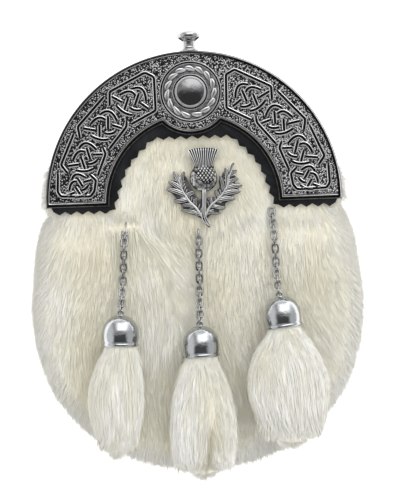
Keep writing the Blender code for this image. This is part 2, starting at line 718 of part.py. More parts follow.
# ---------------------------------------------------------------- bells, tassels, chains
def make_drop(side, top_x, top_y, turn):
    """One bell cap with its eye, its hair tassel and its chain."""
    way = Vector((sin(radians(turn)), -cos(radians(turn)), 0.0))
    across = Vector((-way.y, way.x, 0.0))
    up = Vector((0.0, 0.0, 1.0))
    top = Vector((top_x, top_y, BELL_Z))

    inner = [(along, radius - BELL_WALL) for along, radius in BELL_PROFILE[:1:-1]]
    profile = [(0.0, 0.0)] + BELL_PROFILE + inner + [(BELL_WALL + 0.4, 4.0), (BELL_WALL, 0.0)]
    bell = turned("bell_" + side, profile, BELL_SIDES, CHROME)
    bell.location = top * MM
    bell.rotation_euler = (radians(90.0), 0.0, radians(turn))
    centre = top - way * EYE_RISE
    bpy.ops.mesh.primitive_torus_add(location=centre * MM, major_segments=10, minor_segments=5,
                                     major_radius=EYE_R * MM, minor_radius=EYE_WIRE / 2 * MM)
    helper = bpy.context.object
    helper.name = "eye_" + side
    helper.hide_render = True
    helper.display_type = "WIRE"
    for collection in list(helper.users_collection):
        collection.objects.unlink(helper)
    HELPERS.objects.link(helper)
    fuse(bell, helper)

    columns = TASSEL_COLUMNS
    rings = [[top + way * 6.2]]
    for along, radius in ((10.0, 7.2), (17.0, 6.9)):
        rings.append([top + way * along + (across * cos(2 * pi * j / columns)
                                           + up * sin(2 * pi * j / columns)) * radius
                      for j in range(columns)])
    rows = HAIR[side]
    for k, (y, left, right, thick) in enumerate(rows):
        lock = 0.0 if k == 0 else 0.07
        slip = 2.4 if k == len(rows) - 1 else 0.0
        mid, half = (left + right) / 2, (right - left) / 2
        ring = []
        for j in range(columns):
            sign = 1.0 if j % 2 else -1.0
            c, s = polar(1.0 + lock * sign, 360.0 * j / columns)
            ring.append((mid + half * c, y - slip * sign, BELL_Z + thick * s))
        rings.append(ring)
    rings.append([(*HAIR_TIP[side], BELL_Z)])
    loft("tassel_" + side, rings, WHITE_FUR)

    route = resample(smooth(CHAINS[side]), CHAIN_STEP)
    rods("chain_" + side, [[tuple(p) for p in route]], CHAIN_WIDE / 2, 2, STEEL)


# ---------------------------------------------------------------- strap loops
def make_strap_loop(name, side):
    """A D of wire on a small plate, fixed to the gusset behind the cantle."""
    bpy.ops.mesh.primitive_cube_add(size=1.0)
    loop = bpy.context.object
    loop.name = name
    loop.data.name = name
    loop.data.materials.append(STEEL)
    for collection in list(loop.users_collection):
        collection.objects.unlink(loop)
    PIECES.objects.link(loop)
    turn = LOOP_ANGLE if side > 0 else 180.0 - LOOP_ANGLE
    x, y = polar(LOOP_PLATE_R, turn)
    loop.location = (x * MM, y * MM, LOOP_Z * MM)
    loop.rotation_euler.z = radians(turn)
    loop.data.transform(Matrix.Diagonal((*(side_mm * MM for side_mm in LOOP_PLATE), 1.0)))
    line = LOOP_LINE + [(r, -t) for r, t in LOOP_LINE[::-1]]
    c, s = polar(1.0, turn)
    path = [(r * c - t * s, r * s + t * c, LOOP_Z) for r, t in line]
    fuse(loop, to_mesh(rods(name + "_wire", [path], LOOP_WIRE / 2, 1, STEEL, helper=True)))


make_body()
make_pelt()
make_trim()
make_cantle()
make_dome()
make_knob()
make_badge()
for _side, _x, _y, _turn in BELLS:
    make_drop(_side, _x, _y, _turn)
make_strap_loop("strap_loop_right", 1)
make_strap_loop("strap_loop_left", -1)
bpy.context.view_layer.update()
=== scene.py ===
"""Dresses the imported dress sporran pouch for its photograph.

The pouch lies on its back: +X is to the right of its front, +Y is up the pouch towards
the knob and +Z is out of the front. Sizes and points here are in millimetres in that
frame, and every mesh is written in metres with its object at the origin.
"""
from __future__ import annotations

import logging
from dataclasses import dataclass, field
from enum import Enum

import bpy
import numpy as np
from mathutils import Euler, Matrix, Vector

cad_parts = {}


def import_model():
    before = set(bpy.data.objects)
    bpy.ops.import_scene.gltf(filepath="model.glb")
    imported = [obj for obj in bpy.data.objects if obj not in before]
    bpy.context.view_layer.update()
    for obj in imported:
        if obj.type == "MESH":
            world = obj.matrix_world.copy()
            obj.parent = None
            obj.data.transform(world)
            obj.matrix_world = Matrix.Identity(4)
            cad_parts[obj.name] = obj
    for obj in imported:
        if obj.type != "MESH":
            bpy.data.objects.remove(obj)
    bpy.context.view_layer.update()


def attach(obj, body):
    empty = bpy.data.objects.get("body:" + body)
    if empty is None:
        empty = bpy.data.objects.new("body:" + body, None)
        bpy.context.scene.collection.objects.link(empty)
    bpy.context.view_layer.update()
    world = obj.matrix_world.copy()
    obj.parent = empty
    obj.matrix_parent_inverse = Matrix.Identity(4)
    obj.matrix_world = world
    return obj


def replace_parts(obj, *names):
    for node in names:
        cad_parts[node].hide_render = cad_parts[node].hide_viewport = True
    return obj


LOG = logging.getLogger("sporran_pouch")
MM = 0.001
Array = np.ndarray
Shell = tuple[np.ndarray, list[np.ndarray]]
Pair = tuple[float, float]
Triple = tuple[float, float, float]
Rows = tuple[tuple[float, ...], ...]
Socket = bpy.types.NodeSocket
LATTICE = 64
FRONT = np.array([0.0, 0.0, 1.0])


# ---------- small mathematics
def smoothstep(value: Array) -> Array:
    """Ease from 0 to 1: 3t^2 - 2t^3 of the value clipped to 0..1."""
    t = np.clip(value, 0.0, 1.0)
    return t * t * (3.0 - 2.0 * t)


def unit(vectors: Array) -> Array:
    """Vectors over their own length, along the last axis."""
    return vectors / np.maximum(np.linalg.norm(vectors, axis=-1, keepdims=True), 1e-12)


def polar(radius: Array, turn: Array, cx: float = 0.0, cy: float = 0.0) -> Array:
    """Plan points at a radius and a turn in degrees from +X, as (..., 2)."""
    a = np.radians(turn)
    return np.stack(np.broadcast_arrays(cx + radius * np.cos(a), cy + radius * np.sin(a)), -1)


def around(count: int) -> Array:
    """Turns in degrees of points set evenly round a circle."""
    return np.linspace(0, 360, count, endpoint=False)


def bearing(spots: Array) -> Array:
    """Turn in degrees from +X of plan points, (..., 2)."""
    return np.degrees(np.arctan2(spots[..., 1], spots[..., 0]))


def angle_from(turn: Array, middle: float) -> Array:
    """Angle in radians, -pi to pi, from a middle given in degrees to a turn in radians."""
    return (turn - np.radians(middle) + np.pi) % (2 * np.pi) - np.pi


def path_length(path: Array) -> float:
    """Length of a polyline."""
    return float(np.linalg.norm(np.diff(path, axis=0), axis=1).sum())


def curve(points: Array, per_span: int) -> Array:
    """A smooth curve through rows of points.

    Each span is a cubic, whose slope at a row is half the step between the row's neighbours.

    Args:
        points: Rows of any dimension.
        per_span: Steps between neighbouring rows.

    Returns:
        The rows of the curve, both ends included.
    """
    p = np.asarray(points, float)
    p = np.vstack([2 * p[0] - p[1], p, 2 * p[-1] - p[-2]])
    t = (np.arange(per_span) / per_span)[None, :, None]
    a, b, c, d = (p[k:len(p) - 3 + k][:, None, :] for k in range(4))
    spans = 0.5 * (2 * b + (c - a) * t + (2 * a - 5 * b + 4 * c - d) * t ** 2
                   + (3 * b - a - 3 * c + d) * t ** 3)
    return np.vstack([spans.reshape(-1, p.shape[1]), p[-2:-1]])


def resample(path: Array, count: int) -> Array:
    """A polyline walked in count - 1 equal steps of its own length."""
    along = np.concatenate([[0.0], np.cumsum(np.linalg.norm(np.diff(path, axis=0), axis=1))])
    at = np.linspace(0.0, along[-1], count)
    return np.stack([np.interp(at, along, path[:, k]) for k in range(path.shape[1])], -1)


def waver(x: Array, y: Array, cell: float, seed: int) -> Array:
    """Smooth value noise in -1..1: random lattice values eased between the corners of a cell.

    Args:
        x: First coordinate.
        y: Second coordinate, of the same shape.
        cell: Size of a lattice cell.
        seed: Seed of the lattice values.

    Returns:
        One value per point.
    """
    table = np.random.default_rng(seed).uniform(-1.0, 1.0, (LATTICE, LATTICE))
    gx, gy = x / cell, y / cell
    ix, iy = np.floor(gx).astype(int), np.floor(gy).astype(int)
    fx, fy = smoothstep(gx - ix), smoothstep(gy - iy)
    west, east, south, north = ix % LATTICE, (ix + 1) % LATTICE, iy % LATTICE, (iy + 1) % LATTICE
    low = table[west, south] * (1 - fx) + table[east, south] * fx
    high = table[west, north] * (1 - fx) + table[east, north] * fx
    return low * (1 - fy) + high * fy


def nearest_stud(x: Array, y: Array, cell: float, seed: int) -> Array:
    """Distance to the nearest of a field of jittered studs, one in each square cell.

    Args:
        x: First coordinate.
        y: Second coordinate, of the same shape.
        cell: Size of a cell.
        seed: Seed of the studs' places.

    Returns:
        One distance per point.
    """
    rng = np.random.default_rng(seed)
    jitter = rng.uniform(0.18, 0.82, (LATTICE, LATTICE, 2))
    gx, gy = x / cell, y / cell
    ix, iy = np.floor(gx).astype(int), np.floor(gy).astype(int)
    best = np.full(np.shape(x), 9.0)
    for dx in (-1, 0, 1):
        for dy in (-1, 0, 1):
            spot = jitter[(ix + dx) % LATTICE, (iy + dy) % LATTICE]
            best = np.minimum(best, np.hypot(ix + dx + spot[..., 0] - gx, iy + dy + spot[..., 1] - gy))
    return best * cell


# ---------- meshes from arrays
def stand(name: str, data: bpy.types.ID) -> bpy.types.Object:
    """A new object of the scene, at the origin."""
    obj = bpy.data.objects.new(name, data)
    bpy.context.scene.collection.objects.link(obj)
    return obj


def grid_faces(rows: int, cols: int, wrap_rows: bool = False, wrap_cols: bool = False) -> Array:
    """Quads of a grid of points numbered row by row.

    Args:
        rows: Number of rows.
        cols: Points in a row.
        wrap_rows: True if the last row joins the first.
        wrap_cols: True if each row's last point joins its first.

    Returns:
        The quads, (m, 4).
    """
    i = np.arange(rows if wrap_rows else rows - 1)[:, None]
    j = np.arange(cols if wrap_cols else cols - 1)[None, :]
    i2, j2 = (i + 1) % rows, (j + 1) % cols
    quads = np.stack(np.broadcast_arrays(i * cols + j, i * cols + j2, i2 * cols + j2, i2 * cols + j), -1)
    return quads.reshape(-1, 4)


def fan(ring: Array, hub: int) -> Array:
    """Triangles from a closed ring of point numbers to one hub point."""
    return np.stack([ring, np.roll(ring, -1), np.full(len(ring), hub)], -1)


def capped(rings: int, sides: int) -> list[Array]:
    """Faces of a tube of rings, closed at its ends by two hub points counted after them."""
    ring = np.arange(sides)
    return [grid_faces(rings, sides, wrap_cols=True), fan(ring[::-1], rings * sides),
            fan(ring + (rings - 1) * sides, rings * sides + 1)]


def rim_of(rows: int, cols: int) -> Array:
    """Point numbers round the edge of a grid, from its first point along its first row."""
    return np.concatenate([np.arange(cols), np.arange(1, rows) * cols + cols - 1,
                           (rows - 1) * cols + np.arange(cols - 2, -1, -1),
                           np.arange(rows - 2, 0, -1) * cols])


def closed_sheet(rows: int, cols: int) -> list[Array]:
    """Faces of a thick sheet: its upper grid, its lower grid counted after it, and the walls."""
    top, n = grid_faces(rows, cols), rows * cols
    edge = rim_of(rows, cols)
    after = np.roll(edge, -1)
    return [top, top[:, ::-1] + n, np.stack([after, edge, edge + n, after + n], -1)]


def signed_volume(points: Array, faces: list[Array]) -> float:
    """Six times the volume inside the faces, negative if they point inwards."""
    total = 0.0
    for block in faces:
        a = points[block[:, 0]]
        for k in range(1, block.shape[1] - 1):
            total += float(np.einsum("ij,ij->", a, np.cross(points[block[:, k]], points[block[:, k + 1]])))
    return total


@dataclass
class Stock:
    """Closed shells gathered into one mesh, with one value per point for each attribute."""

    points: list[Array] = field(default_factory=list)
    faces: list[Array] = field(default_factory=list)
    values: dict[str, list[Array]] = field(default_factory=dict)
    count: int = 0

    def add(self, points: Array, faces: list[Array], **values: Array) -> None:
        """Take in a closed shell, turned so that its faces point outwards.

        Args:
            points: The shell's points, (n, 3), in millimetres.
            faces: Blocks of faces, each an integer array of (m, corners).
            **values: One number per point for each named attribute.
        """
        points = np.asarray(points, float).reshape(-1, 3)
        if signed_volume(points - points.mean(0), faces) < 0:
            faces = [block[:, ::-1] for block in faces]
        self.faces += [block + self.count for block in faces]
        self.points.append(points)
        for name, value in values.items():
            self.values.setdefault(name, []).append(np.broadcast_to(value, len(points)))
        self.count += len(points)

    def piece(self, name: str, finish: "Finish", crease: float = 180.0) -> bpy.types.Object:
        """Write the gathered shells as one object, shaded smooth.

        Args:
            name: The piece's name.
            finish: Its finish, which also names the record's material slot.
            crease: Edges sharper than this many degrees stay sharp.

        Returns:
            The new object, which rides on the root body.
        """
        points = np.concatenate(self.points) * MM
        mesh = bpy.data.meshes.new(name)
        mesh.vertices.add(len(points))
        mesh.vertices.foreach_set("co", points.ravel())
        loops = np.concatenate([block.ravel() for block in self.faces])
        sizes = np.concatenate([np.full(len(block), block.shape[1]) for block in self.faces])
        mesh.loops.add(len(loops))
        mesh.loops.foreach_set("vertex_index", loops.astype(np.int32))
        mesh.polygons.add(len(sizes))
        mesh.polygons.foreach_set("loop_start", (np.cumsum(sizes) - sizes).astype(np.int32))
        mesh.update(calc_edges=True)
        for key, parts in self.values.items():
            layer = mesh.attributes.new(key, "FLOAT", "POINT")
            layer.data.foreach_set("value", np.concatenate(parts).astype(np.float32))
        mesh.shade_smooth()
        if crease < 180.0:
            mesh.set_sharp_from_angle(angle=np.radians(crease))
        obj = stand(name, mesh)
        mesh.materials.append(finish.material())
        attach(obj, "root")
        LOG.info("%s: %d triangles", name, int((sizes - 2).sum()))
        return obj


def sweep(path: Array, profile: Array, closed: bool = False, up: Array = FRONT) -> Shell:
    """Carry a closed cross-section along a path, mitred at the corners.

    Each section lies in the plane that halves the path's bend. A profile row is
    (sideways, upwards), sideways being the path's left as seen against up.

    Args:
        path: Points of the path, (n, 3).
        profile: Rows of the cross-section, (k, 2), or (n, k, 2) if it changes.
        closed: True if the path returns to its start.
        up: The upward vector, (3,) or one per point.

    Returns:
        The points and the blocks of faces.
    """
    path = np.asarray(path, float)
    n = len(path)
    up = np.broadcast_to(up, (n, 3))
    step = unit(np.roll(path, -1, 0) - path)
    back = unit(path - np.roll(path, 1, 0))
    if not closed:
        step[-1], back[0] = back[-1], step[0]
    ahead = unit(step + back)
    side = unit(np.cross(up, ahead))
    stretch = 1.0 / np.maximum(np.abs(np.einsum("ij,ij->i", unit(np.cross(up, step)), side)), 0.4)
    lift = unit(np.cross(ahead, side))
    profile = np.broadcast_to(profile, (n, *np.shape(profile)[-2:]))
    points = (path[:, None, :] + side[:, None, :] * (profile[..., :1] * stretch[:, None, None])
              + lift[:, None, :] * profile[..., 1:])
    k = profile.shape[1]
    if closed:
        return points.reshape(-1, 3), [grid_faces(n, k, wrap_rows=True, wrap_cols=True)]
    return np.vstack([points.reshape(-1, 3), points[[0, -1]].mean(1)]), capped(n, k)


def turned(profile: Array, sides: int) -> Shell:
    """A turned shape: a profile carried round the +Z axis.

    Args:
        profile: Rows of (along, radius), the first and last on the axis.
        sides: Points round the axis.

    Returns:
        The points and the blocks of faces.
    """
    profile = np.asarray(profile, float)
    a = np.linspace(0.0, 2 * np.pi, sides, endpoint=False)
    along, radius = profile[1:-1, 0], profile[1:-1, 1]
    ring = np.stack([radius[:, None] * np.cos(a), radius[:, None] * np.sin(a),
                     np.broadcast_to(along[:, None], (len(along), sides))], -1).reshape(-1, 3)
    poles = np.array([[0, 0, profile[0, 0]], [0, 0, profile[-1, 0]]])
    return np.vstack([ring, poles]), capped(len(along), sides)


def layered(outline: Array, rows: Array) -> Shell:
    """A flat piece as level lines of a plan outline, its ends filled.

    Each line is the outline moved in along its own normals.

    Args:
        outline: Plan points, (n, 2).
        rows: Rows of (inset, height), one for each line.

    Returns:
        The points and the blocks of faces.
    """
    outline = np.asarray(outline, float)
    ahead = np.roll(outline, -1, 0) - np.roll(outline, 1, 0)
    side = unit(np.stack([ahead[:, 1], -ahead[:, 0]], -1))
    after = np.roll(outline, -1, 0)
    side *= np.sign((outline[:, 0] * after[:, 1] - outline[:, 1] * after[:, 0]).sum())
    plan = outline[None] - side[None] * rows[:, :1, None]
    points = np.concatenate([plan, np.broadcast_to(rows[:, 1, None, None], (*plan.shape[:2], 1))], -1)
    n = len(outline)
    last = np.arange(n)[None] + (len(rows) - 1) * n
    return points.reshape(-1, 3), [grid_faces(len(rows), n, wrap_cols=True), np.arange(n)[None, ::-1], last]


def slab(outline: Array, low: float, high: float, edge: float) -> Shell:
    """A flat piece from a plan outline, with eased edges.

    The outline is drawn in by edge * (1 - sin a) while the height climbs by
    edge * (1 - cos a), at the foot and at the top alike.

    Args:
        outline: Plan points, (n, 2).
        low: Height of its foot.
        high: Height of its top.
        edge: Radius of the edges.

    Returns:
        The points and the blocks of faces.
    """
    a = np.radians([0.0, 45.0, 90.0])
    foot = np.stack([edge * (1 - np.sin(a)), low + edge * (1 - np.cos(a))], -1)
    head = np.stack([edge * (1 - np.sin(a[::-1])), high - edge * (1 - np.cos(a[::-1]))], -1)
    return layered(outline, np.vstack([foot, head]))


def raised_bar(path: Array, half: Array, rise: Array, base: float) -> tuple[Array, list[Array], Array]:
    """A rounded bar: half an ellipse carried along a plan path, drawn in at its ends.

    Args:
        path: Plan points, (n, 2).
        half: Half width along the path, (n,).
        rise: Height over the base along the path, (n,).
        base: Height of the ground.

    Returns:
        The points, the blocks of faces, and each point's level: bright on the rubbed top, black at the foot.
    """
    n = len(path)
    b = np.radians(np.linspace(0.0, 180.0, 9))
    at = np.linspace(0.0, 1.0, n)
    ease = 0.35 + 0.65 * np.sin(np.pi * np.clip(np.minimum(at, 1 - at) * 5.0 + 0.05, 0, 0.5))
    half, rise = np.broadcast_to(half, n) * ease, np.broadcast_to(rise, n) * ease
    arch = np.stack([half[:, None] * np.cos(b), rise[:, None] * np.sin(b)], -1)
    foot = np.stack([half[:, None] * [-1.0, 1.0], np.full((n, 2), -0.5)], -1)
    points, faces = sweep(lifted(path, base), np.concatenate([arch, foot], 1))
    wear_and_light = np.concatenate([np.tile(np.concatenate([np.sin(b) ** 0.7, [0.0, 0.0]]), n), [0.3, 0.3]])
    return points, faces, wear_and_light


def lifted(plan: Array, z: float) -> Array:
    """Plan points, (n, 2), set at one height, (n, 3)."""
    return np.column_stack([plan, np.full(len(plan), z)])


def place(points: Array, origin: Array, turn: Triple) -> Array:
    """Turn points and set them at an origin.

    Args:
        points: Points, (n, 3).
        origin: Where their own origin goes.
        turn: Degrees about X, Y and Z.

    Returns:
        The points moved, (n, 3).
    """
    matrix = np.array(Euler([np.radians(v) for v in turn]).to_matrix())
    return points @ matrix.T + np.asarray(origin, float)


# ---------- finishes
class Slot(Enum):
    """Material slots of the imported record."""

    LEATHER = "leather"
    FUR = "fur"
    ANTIQUE = "antique"
    SILVER = "badge_silver"
    CHROME = "chrome"
    STEEL = "chain_steel"


@dataclass
class Nodes:
    """A shorthand for building the node tree of a material or of the world."""

    owner: bpy.types.Material | bpy.types.World

    def __post_init__(self) -> None:
        """Give the owner its node tree."""
        self.owner.use_nodes = True

    @property
    def shader(self) -> bpy.types.Node:
        """A material's Principled shader."""
        return self.owner.node_tree.nodes["Principled BSDF"]

    def fix(self, **values: float | tuple[float, ...]) -> None:
        """Set constant values on the shader's own sockets, their names written with underscores."""
        for name, value in values.items():
            self.shader.inputs[name.replace("_", " ")].default_value = value

    def add(self, kind: str, values: dict | None = None, **settings: object) -> bpy.types.Node:
        """Add a node.

        Args:
            kind: Its type name without the ShaderNode prefix.
            values: Input sockets by name or number, each a value or an output socket.
            **settings: Properties of the node.

        Returns:
            The new node.
        """
        node = self.owner.node_tree.nodes.new("ShaderNode" + kind)
        for key, value in settings.items():
            setattr(node, key, value)
        for key, value in (values or {}).items():
            self.feed(node.inputs[key], value)
        return node

    def feed(self, socket: Socket, value: object) -> None:
        """Link an output into a socket, or set the socket's own value."""
        if isinstance(value, Socket):
            self.owner.node_tree.links.new(value, socket)
        else:
            socket.default_value = value

    def ramp(self, factor: Socket, *stops: tuple[float, tuple]) -> Socket:
        """A colour ramp through stops of (place, colour)."""
        node = self.add("ValToRGB", {"Fac": factor})
        while len(node.color_ramp.elements) < len(stops):
            node.color_ramp.elements.new(0.5)
        for element, (at, colour) in zip(node.color_ramp.elements, stops):
            element.position = at
            element.color = (*colour, 1.0)
        return node.outputs["Color"]

    def attribute(self, name: str) -> Socket:
        """The number that the piece keeps per point under a name."""
        return self.add("Attribute", attribute_name=name).outputs["Fac"]

    def math(self, operation: str, *terms: object) -> Socket:
        """A sum, product or other operation on numbers or sockets."""
        return self.add("Math", dict(enumerate(terms)), operation=operation).outputs[0]

    def ranged(self, value: Socket, low: float, high: float, one: object, two: object,
               ease: bool = False) -> Socket:
        """Go from one to two while the value goes from low to high, evenly or eased."""
        terms = {"Value": value, "From Min": low, "From Max": high, "To Min": one, "To Max": two}
        kind = "SMOOTHSTEP" if ease else "LINEAR"
        return self.add("MapRange", terms, interpolation_type=kind).outputs["Result"]

    def times(self, one: Socket, two: Socket) -> Socket:
        """Two colours multiplied; the mix has its factor at socket 0 and its colours at 6 and 7."""
        node = self.add("Mix", {0: 1.0, 6: one, 7: two}, data_type="RGBA", blend_type="MULTIPLY")
        return node.outputs[2]

    def spot(self, stretch: Triple) -> Socket:
        """Object coordinates, stretched along the axes."""
        place_of = self.add("TexCoord").outputs["Object"]
        return self.add("Mapping", {"Vector": place_of, "Scale": stretch}).outputs["Vector"]

    def noise(self, scale: float, detail: float = 2.0, stretch: Triple = (1.0, 1.0, 1.0)) -> Socket:
        """Noise on Object coordinates, scale being waves to the metre."""
        terms = {"Vector": self.spot(stretch), "Scale": scale, "Detail": detail}
        return self.add("TexNoise", terms).outputs["Fac"]

    def cells(self, scale: float, stretch: Triple = (1.0, 1.0, 1.0)) -> Socket:
        """Distance to the middle of the nearest of many random cells on Object coordinates."""
        return self.add("TexVoronoi", {"Vector": self.spot(stretch), "Scale": scale}).outputs["Distance"]

    def bump(self, height: Socket, depth: float, strength: float = 1.0) -> None:
        """Drive the shader's normal by a height, its depth in metres."""
        node = self.add("Bump", {"Height": height, "Strength": strength, "Distance": depth})
        self.feed(self.shader.inputs["Normal"], node.outputs["Normal"])

    def colour(self, value: Socket) -> None:
        """Drive the shader's colour."""
        self.feed(self.shader.inputs["Base Color"], value)

    def roughness(self, value: Socket) -> None:
        """Drive the shader's roughness."""
        self.feed(self.shader.inputs["Roughness"], value)


@dataclass(frozen=True)
class Finish:
    """One finish: the record's slot, and numbers for its shader."""

    name: str
    kind: Slot
    colour: Triple
    roughness: float

    @property
    def slot(self) -> str:
        """Name of the record's material slot."""
        return self.kind.value

    def material(self) -> bpy.types.Material:
        """The material, built once and then shared."""
        found = bpy.data.materials.get(self.name)
        if found:
            return found
        nodes = Nodes(bpy.data.materials.new(self.name))
        nodes.fix(Roughness=self.roughness, Base_Color=(*self.colour, 1.0))
        self.build(nodes)
        nodes.owner.diffuse_color = (*self.colour, 1.0)
        return nodes.owner

    def shade(self, *factors: float) -> tuple[float, ...]:
        """The colour times one factor, or times a factor for each channel."""
        return tuple(c * k for c, k in zip(self.colour, factors if len(factors) > 1 else factors * 3))

    def build(self, nodes: Nodes) -> None:
        """Add the finish's own nodes; a plain finish adds none."""


@dataclass(frozen=True)
class Fur(Finish):
    """White hair: cream, paler or warmer in patches, paler at the rim as painted light, and darker towards
    the roots and in creases as painted shade.
    """

    # pale end of the patch ramp, also used to paint light on the hair at the rim
    pale: Triple = (0.98, 0.975, 0.93)

    def build(self, nodes: Nodes) -> None:
        """Colour from the patch, lot and along attributes, with a soft sheen; the lowest strand tones are
        painted shade in creases, and along paints shade towards the roots.
        """
        patch = nodes.ramp(nodes.attribute("patch"), (0.0, self.pale), (0.3, self.colour),
                           (1.0, self.shade(0.955, 0.91, 0.80)))
        # the first stop is painted shade for strands in the creases
        tone_and_shade = nodes.ramp(nodes.attribute("tone_and_shade"), (0.0, (0.72, 0.69, 0.62)), (0.15, (0.965, 0.96, 0.945)),
                         (0.5, (0.985, 0.982, 0.975)), (1, (1, 1, 1)))
        # darker towards the roots: painted shade
        root = nodes.ramp(nodes.attribute("along"), (0.0, (0.965, 0.957, 0.935)),
                          (0.5, (0.99, 0.987, 0.98)), (1, (1, 1, 1)))
        nodes.colour(nodes.times(nodes.times(patch, tone_and_shade), root))
        nodes.fix(Specular_IOR_Level=0.25, Sheen_Weight=0.15, Sheen_Roughness=0.5)


class Hide(Finish):
    """The dense under-fur: the same colours, combed by fine streaks."""

    def build(self, nodes: Nodes) -> None:
        """Cream streaked along the pouch, with a combed bump."""
        streak = nodes.noise(900.0, 4.0, (1.0, 0.16, 1.0))
        tone = nodes.ramp(streak, (0.3, self.shade(0.92, 0.90, 0.86)), (0.7, self.shade(1.0, 0.985, 0.96)))
        warm = nodes.ramp(nodes.noise(38.0, 3.0), (0.35, (1.0, 1.0, 1.0)), (0.7, (1.0, 0.95, 0.88)))
        nodes.colour(nodes.times(tone, warm))
        nodes.fix(Specular_IOR_Level=0.2)
        nodes.bump(streak, 0.0006)


class Casting(Finish):
    """Antiqued metal: black in its hollows, bright where it stands out and is rubbed, with painted
    reflections and highlights on the cantle's bars and border.
    """

    def build(self, nodes: Nodes) -> None:
        """Colour and roughness from the per-point level of wear and painted light, broken up by fine noise.
        """
        grime = nodes.math("MULTIPLY", nodes.math("SUBTRACT", nodes.noise(520.0, 3.0), 0.5), 0.35)
        level = nodes.math("ADD", nodes.attribute("wear_and_light"), grime)
        hollow, middle = self.shade(0.015), self.shade(0.30)
        nodes.colour(nodes.ramp(level, (0.10, hollow), (0.45, middle), (0.85, self.colour)))
        nodes.roughness(nodes.ranged(level, 0.1, 0.9, self.roughness + 0.24, self.roughness))
        nodes.fix(Metallic=1.0)
        nodes.bump(nodes.noise(1500.0, 3.0), 0.00006)


class Pebbled(Finish):
    """The casting's ground: fine pebbles, black between them and rubbed on top."""

    def build(self, nodes: Nodes) -> None:
        """Pebbles from cells in plan, uneven in height, as colour and as bump, lightened by the per-point
        level, which paints light towards the right.
        """
        stone = nodes.ranged(nodes.cells(1300.0, (1.0, 1.0, 0.0)), 0.12, 0.72, 1.0, 0.0, ease=True)
        uneven = nodes.math("SUBTRACT", nodes.noise(500.0, 2.0), 0.5)
        stone = nodes.ranged(nodes.attribute("plain"), 0.0, 1.0, stone, 0.5)
        height = nodes.math("ADD", stone, nodes.math("MULTIPLY", uneven, 0.35))
        level = nodes.math("ADD", height, nodes.math("MULTIPLY", nodes.attribute("wear_and_light"), 0.3))
        hollow, middle = self.shade(0.03), self.shade(0.24)
        nodes.colour(nodes.ramp(level, (0.22, hollow), (0.55, middle), (0.82, self.colour)))
        nodes.fix(Metallic=1.0)
        nodes.bump(height, 0.00022)


class Polished(Finish):
    """Plated or polished metal with faint handling marks."""

    def build(self, nodes: Nodes) -> None:
        """A little roughness from smears, and a trace of ripple."""
        smear = nodes.noise(95.0, 4.0, (1.0, 1.0, 0.4))
        nodes.roughness(nodes.ranged(smear, 0.3, 0.75, self.roughness, self.roughness + 0.07))
        nodes.colour(nodes.ramp(smear, (0.25, self.shade(0.93)), (0.7, self.colour)))
        nodes.fix(Metallic=1.0)
        nodes.bump(nodes.noise(240.0, 5.0), 0.00026)


class Leather(Finish):
    """Black leather: a pebbled grain, a dull sheen and paler rubbed spots."""

    def build(self, nodes: Nodes) -> None:
        """Grain from cells and noise, roughness and colour from broad wear."""
        grain = nodes.math("ADD", nodes.math("MULTIPLY", nodes.cells(1100.0), 0.8), nodes.noise(2300.0, 3.0))
        wear = nodes.noise(60.0, 4.0)
        rubbed = tuple(c * 2.4 + 0.004 for c in self.colour)
        nodes.colour(nodes.ramp(wear, (0.4, self.colour), (0.8, rubbed)))
        nodes.roughness(nodes.ranged(wear, 0.3, 0.8, self.roughness, self.roughness + 0.18))
        nodes.fix(Specular_IOR_Level=0.32)
        nodes.bump(grain, 0.00012, 0.7)


class Thread(Finish):
    """Waxed thread, laid in a fine twist."""

    def build(self, nodes: Nodes) -> None:
        """A twist from a fine wave, as bump and a little shade."""
        twist = nodes.noise(2600.0, 1.0, (1.0, 0.4, 1.0))
        nodes.colour(nodes.ramp(twist, (0.3, self.shade(0.7)), (0.7, self.colour)))
        nodes.bump(twist, 0.0001)


GREY = (0.84, 0.84, 0.85)
HAIR = Fur("white_hair", Slot.FUR, (0.86, 0.842, 0.725), 0.62)
UNDERFUR = Hide("under_fur", Slot.FUR, (0.87, 0.85, 0.735), 0.85)
PEWTER = Casting("antiqued_pewter", Slot.ANTIQUE, GREY, 0.22)
SATIN = Casting("satin_pewter", Slot.ANTIQUE, GREY, 0.38)
GROUND = Pebbled("pebbled_pewter", Slot.ANTIQUE, GREY, 0.36)
SILVER = Casting("antiqued_silver", Slot.SILVER, (0.97, 0.97, 0.965), 0.36)
CHROME = Polished("chromed_metal", Slot.CHROME, (0.51, 0.525, 0.54), 0.12)
# the chrome darkened for the dome: painted shade for the dark room it mirrors
DOME = Polished("polished_dome", Slot.CHROME, (0.30, 0.30, 0.305), 0.13)
NICKEL = Polished("polished_nickel", Slot.CHROME, (0.50, 0.50, 0.495), 0.14)
STEEL = Polished("steel_wire", Slot.STEEL, (0.37, 0.375, 0.38), 0.16)
BLACK = Leather("black_leather_grain", Slot.LEATHER, (0.006, 0.0065, 0.008), 0.38)
STITCH = Thread("black_thread", Slot.LEATHER, (0.03, 0.03, 0.034), 0.5)


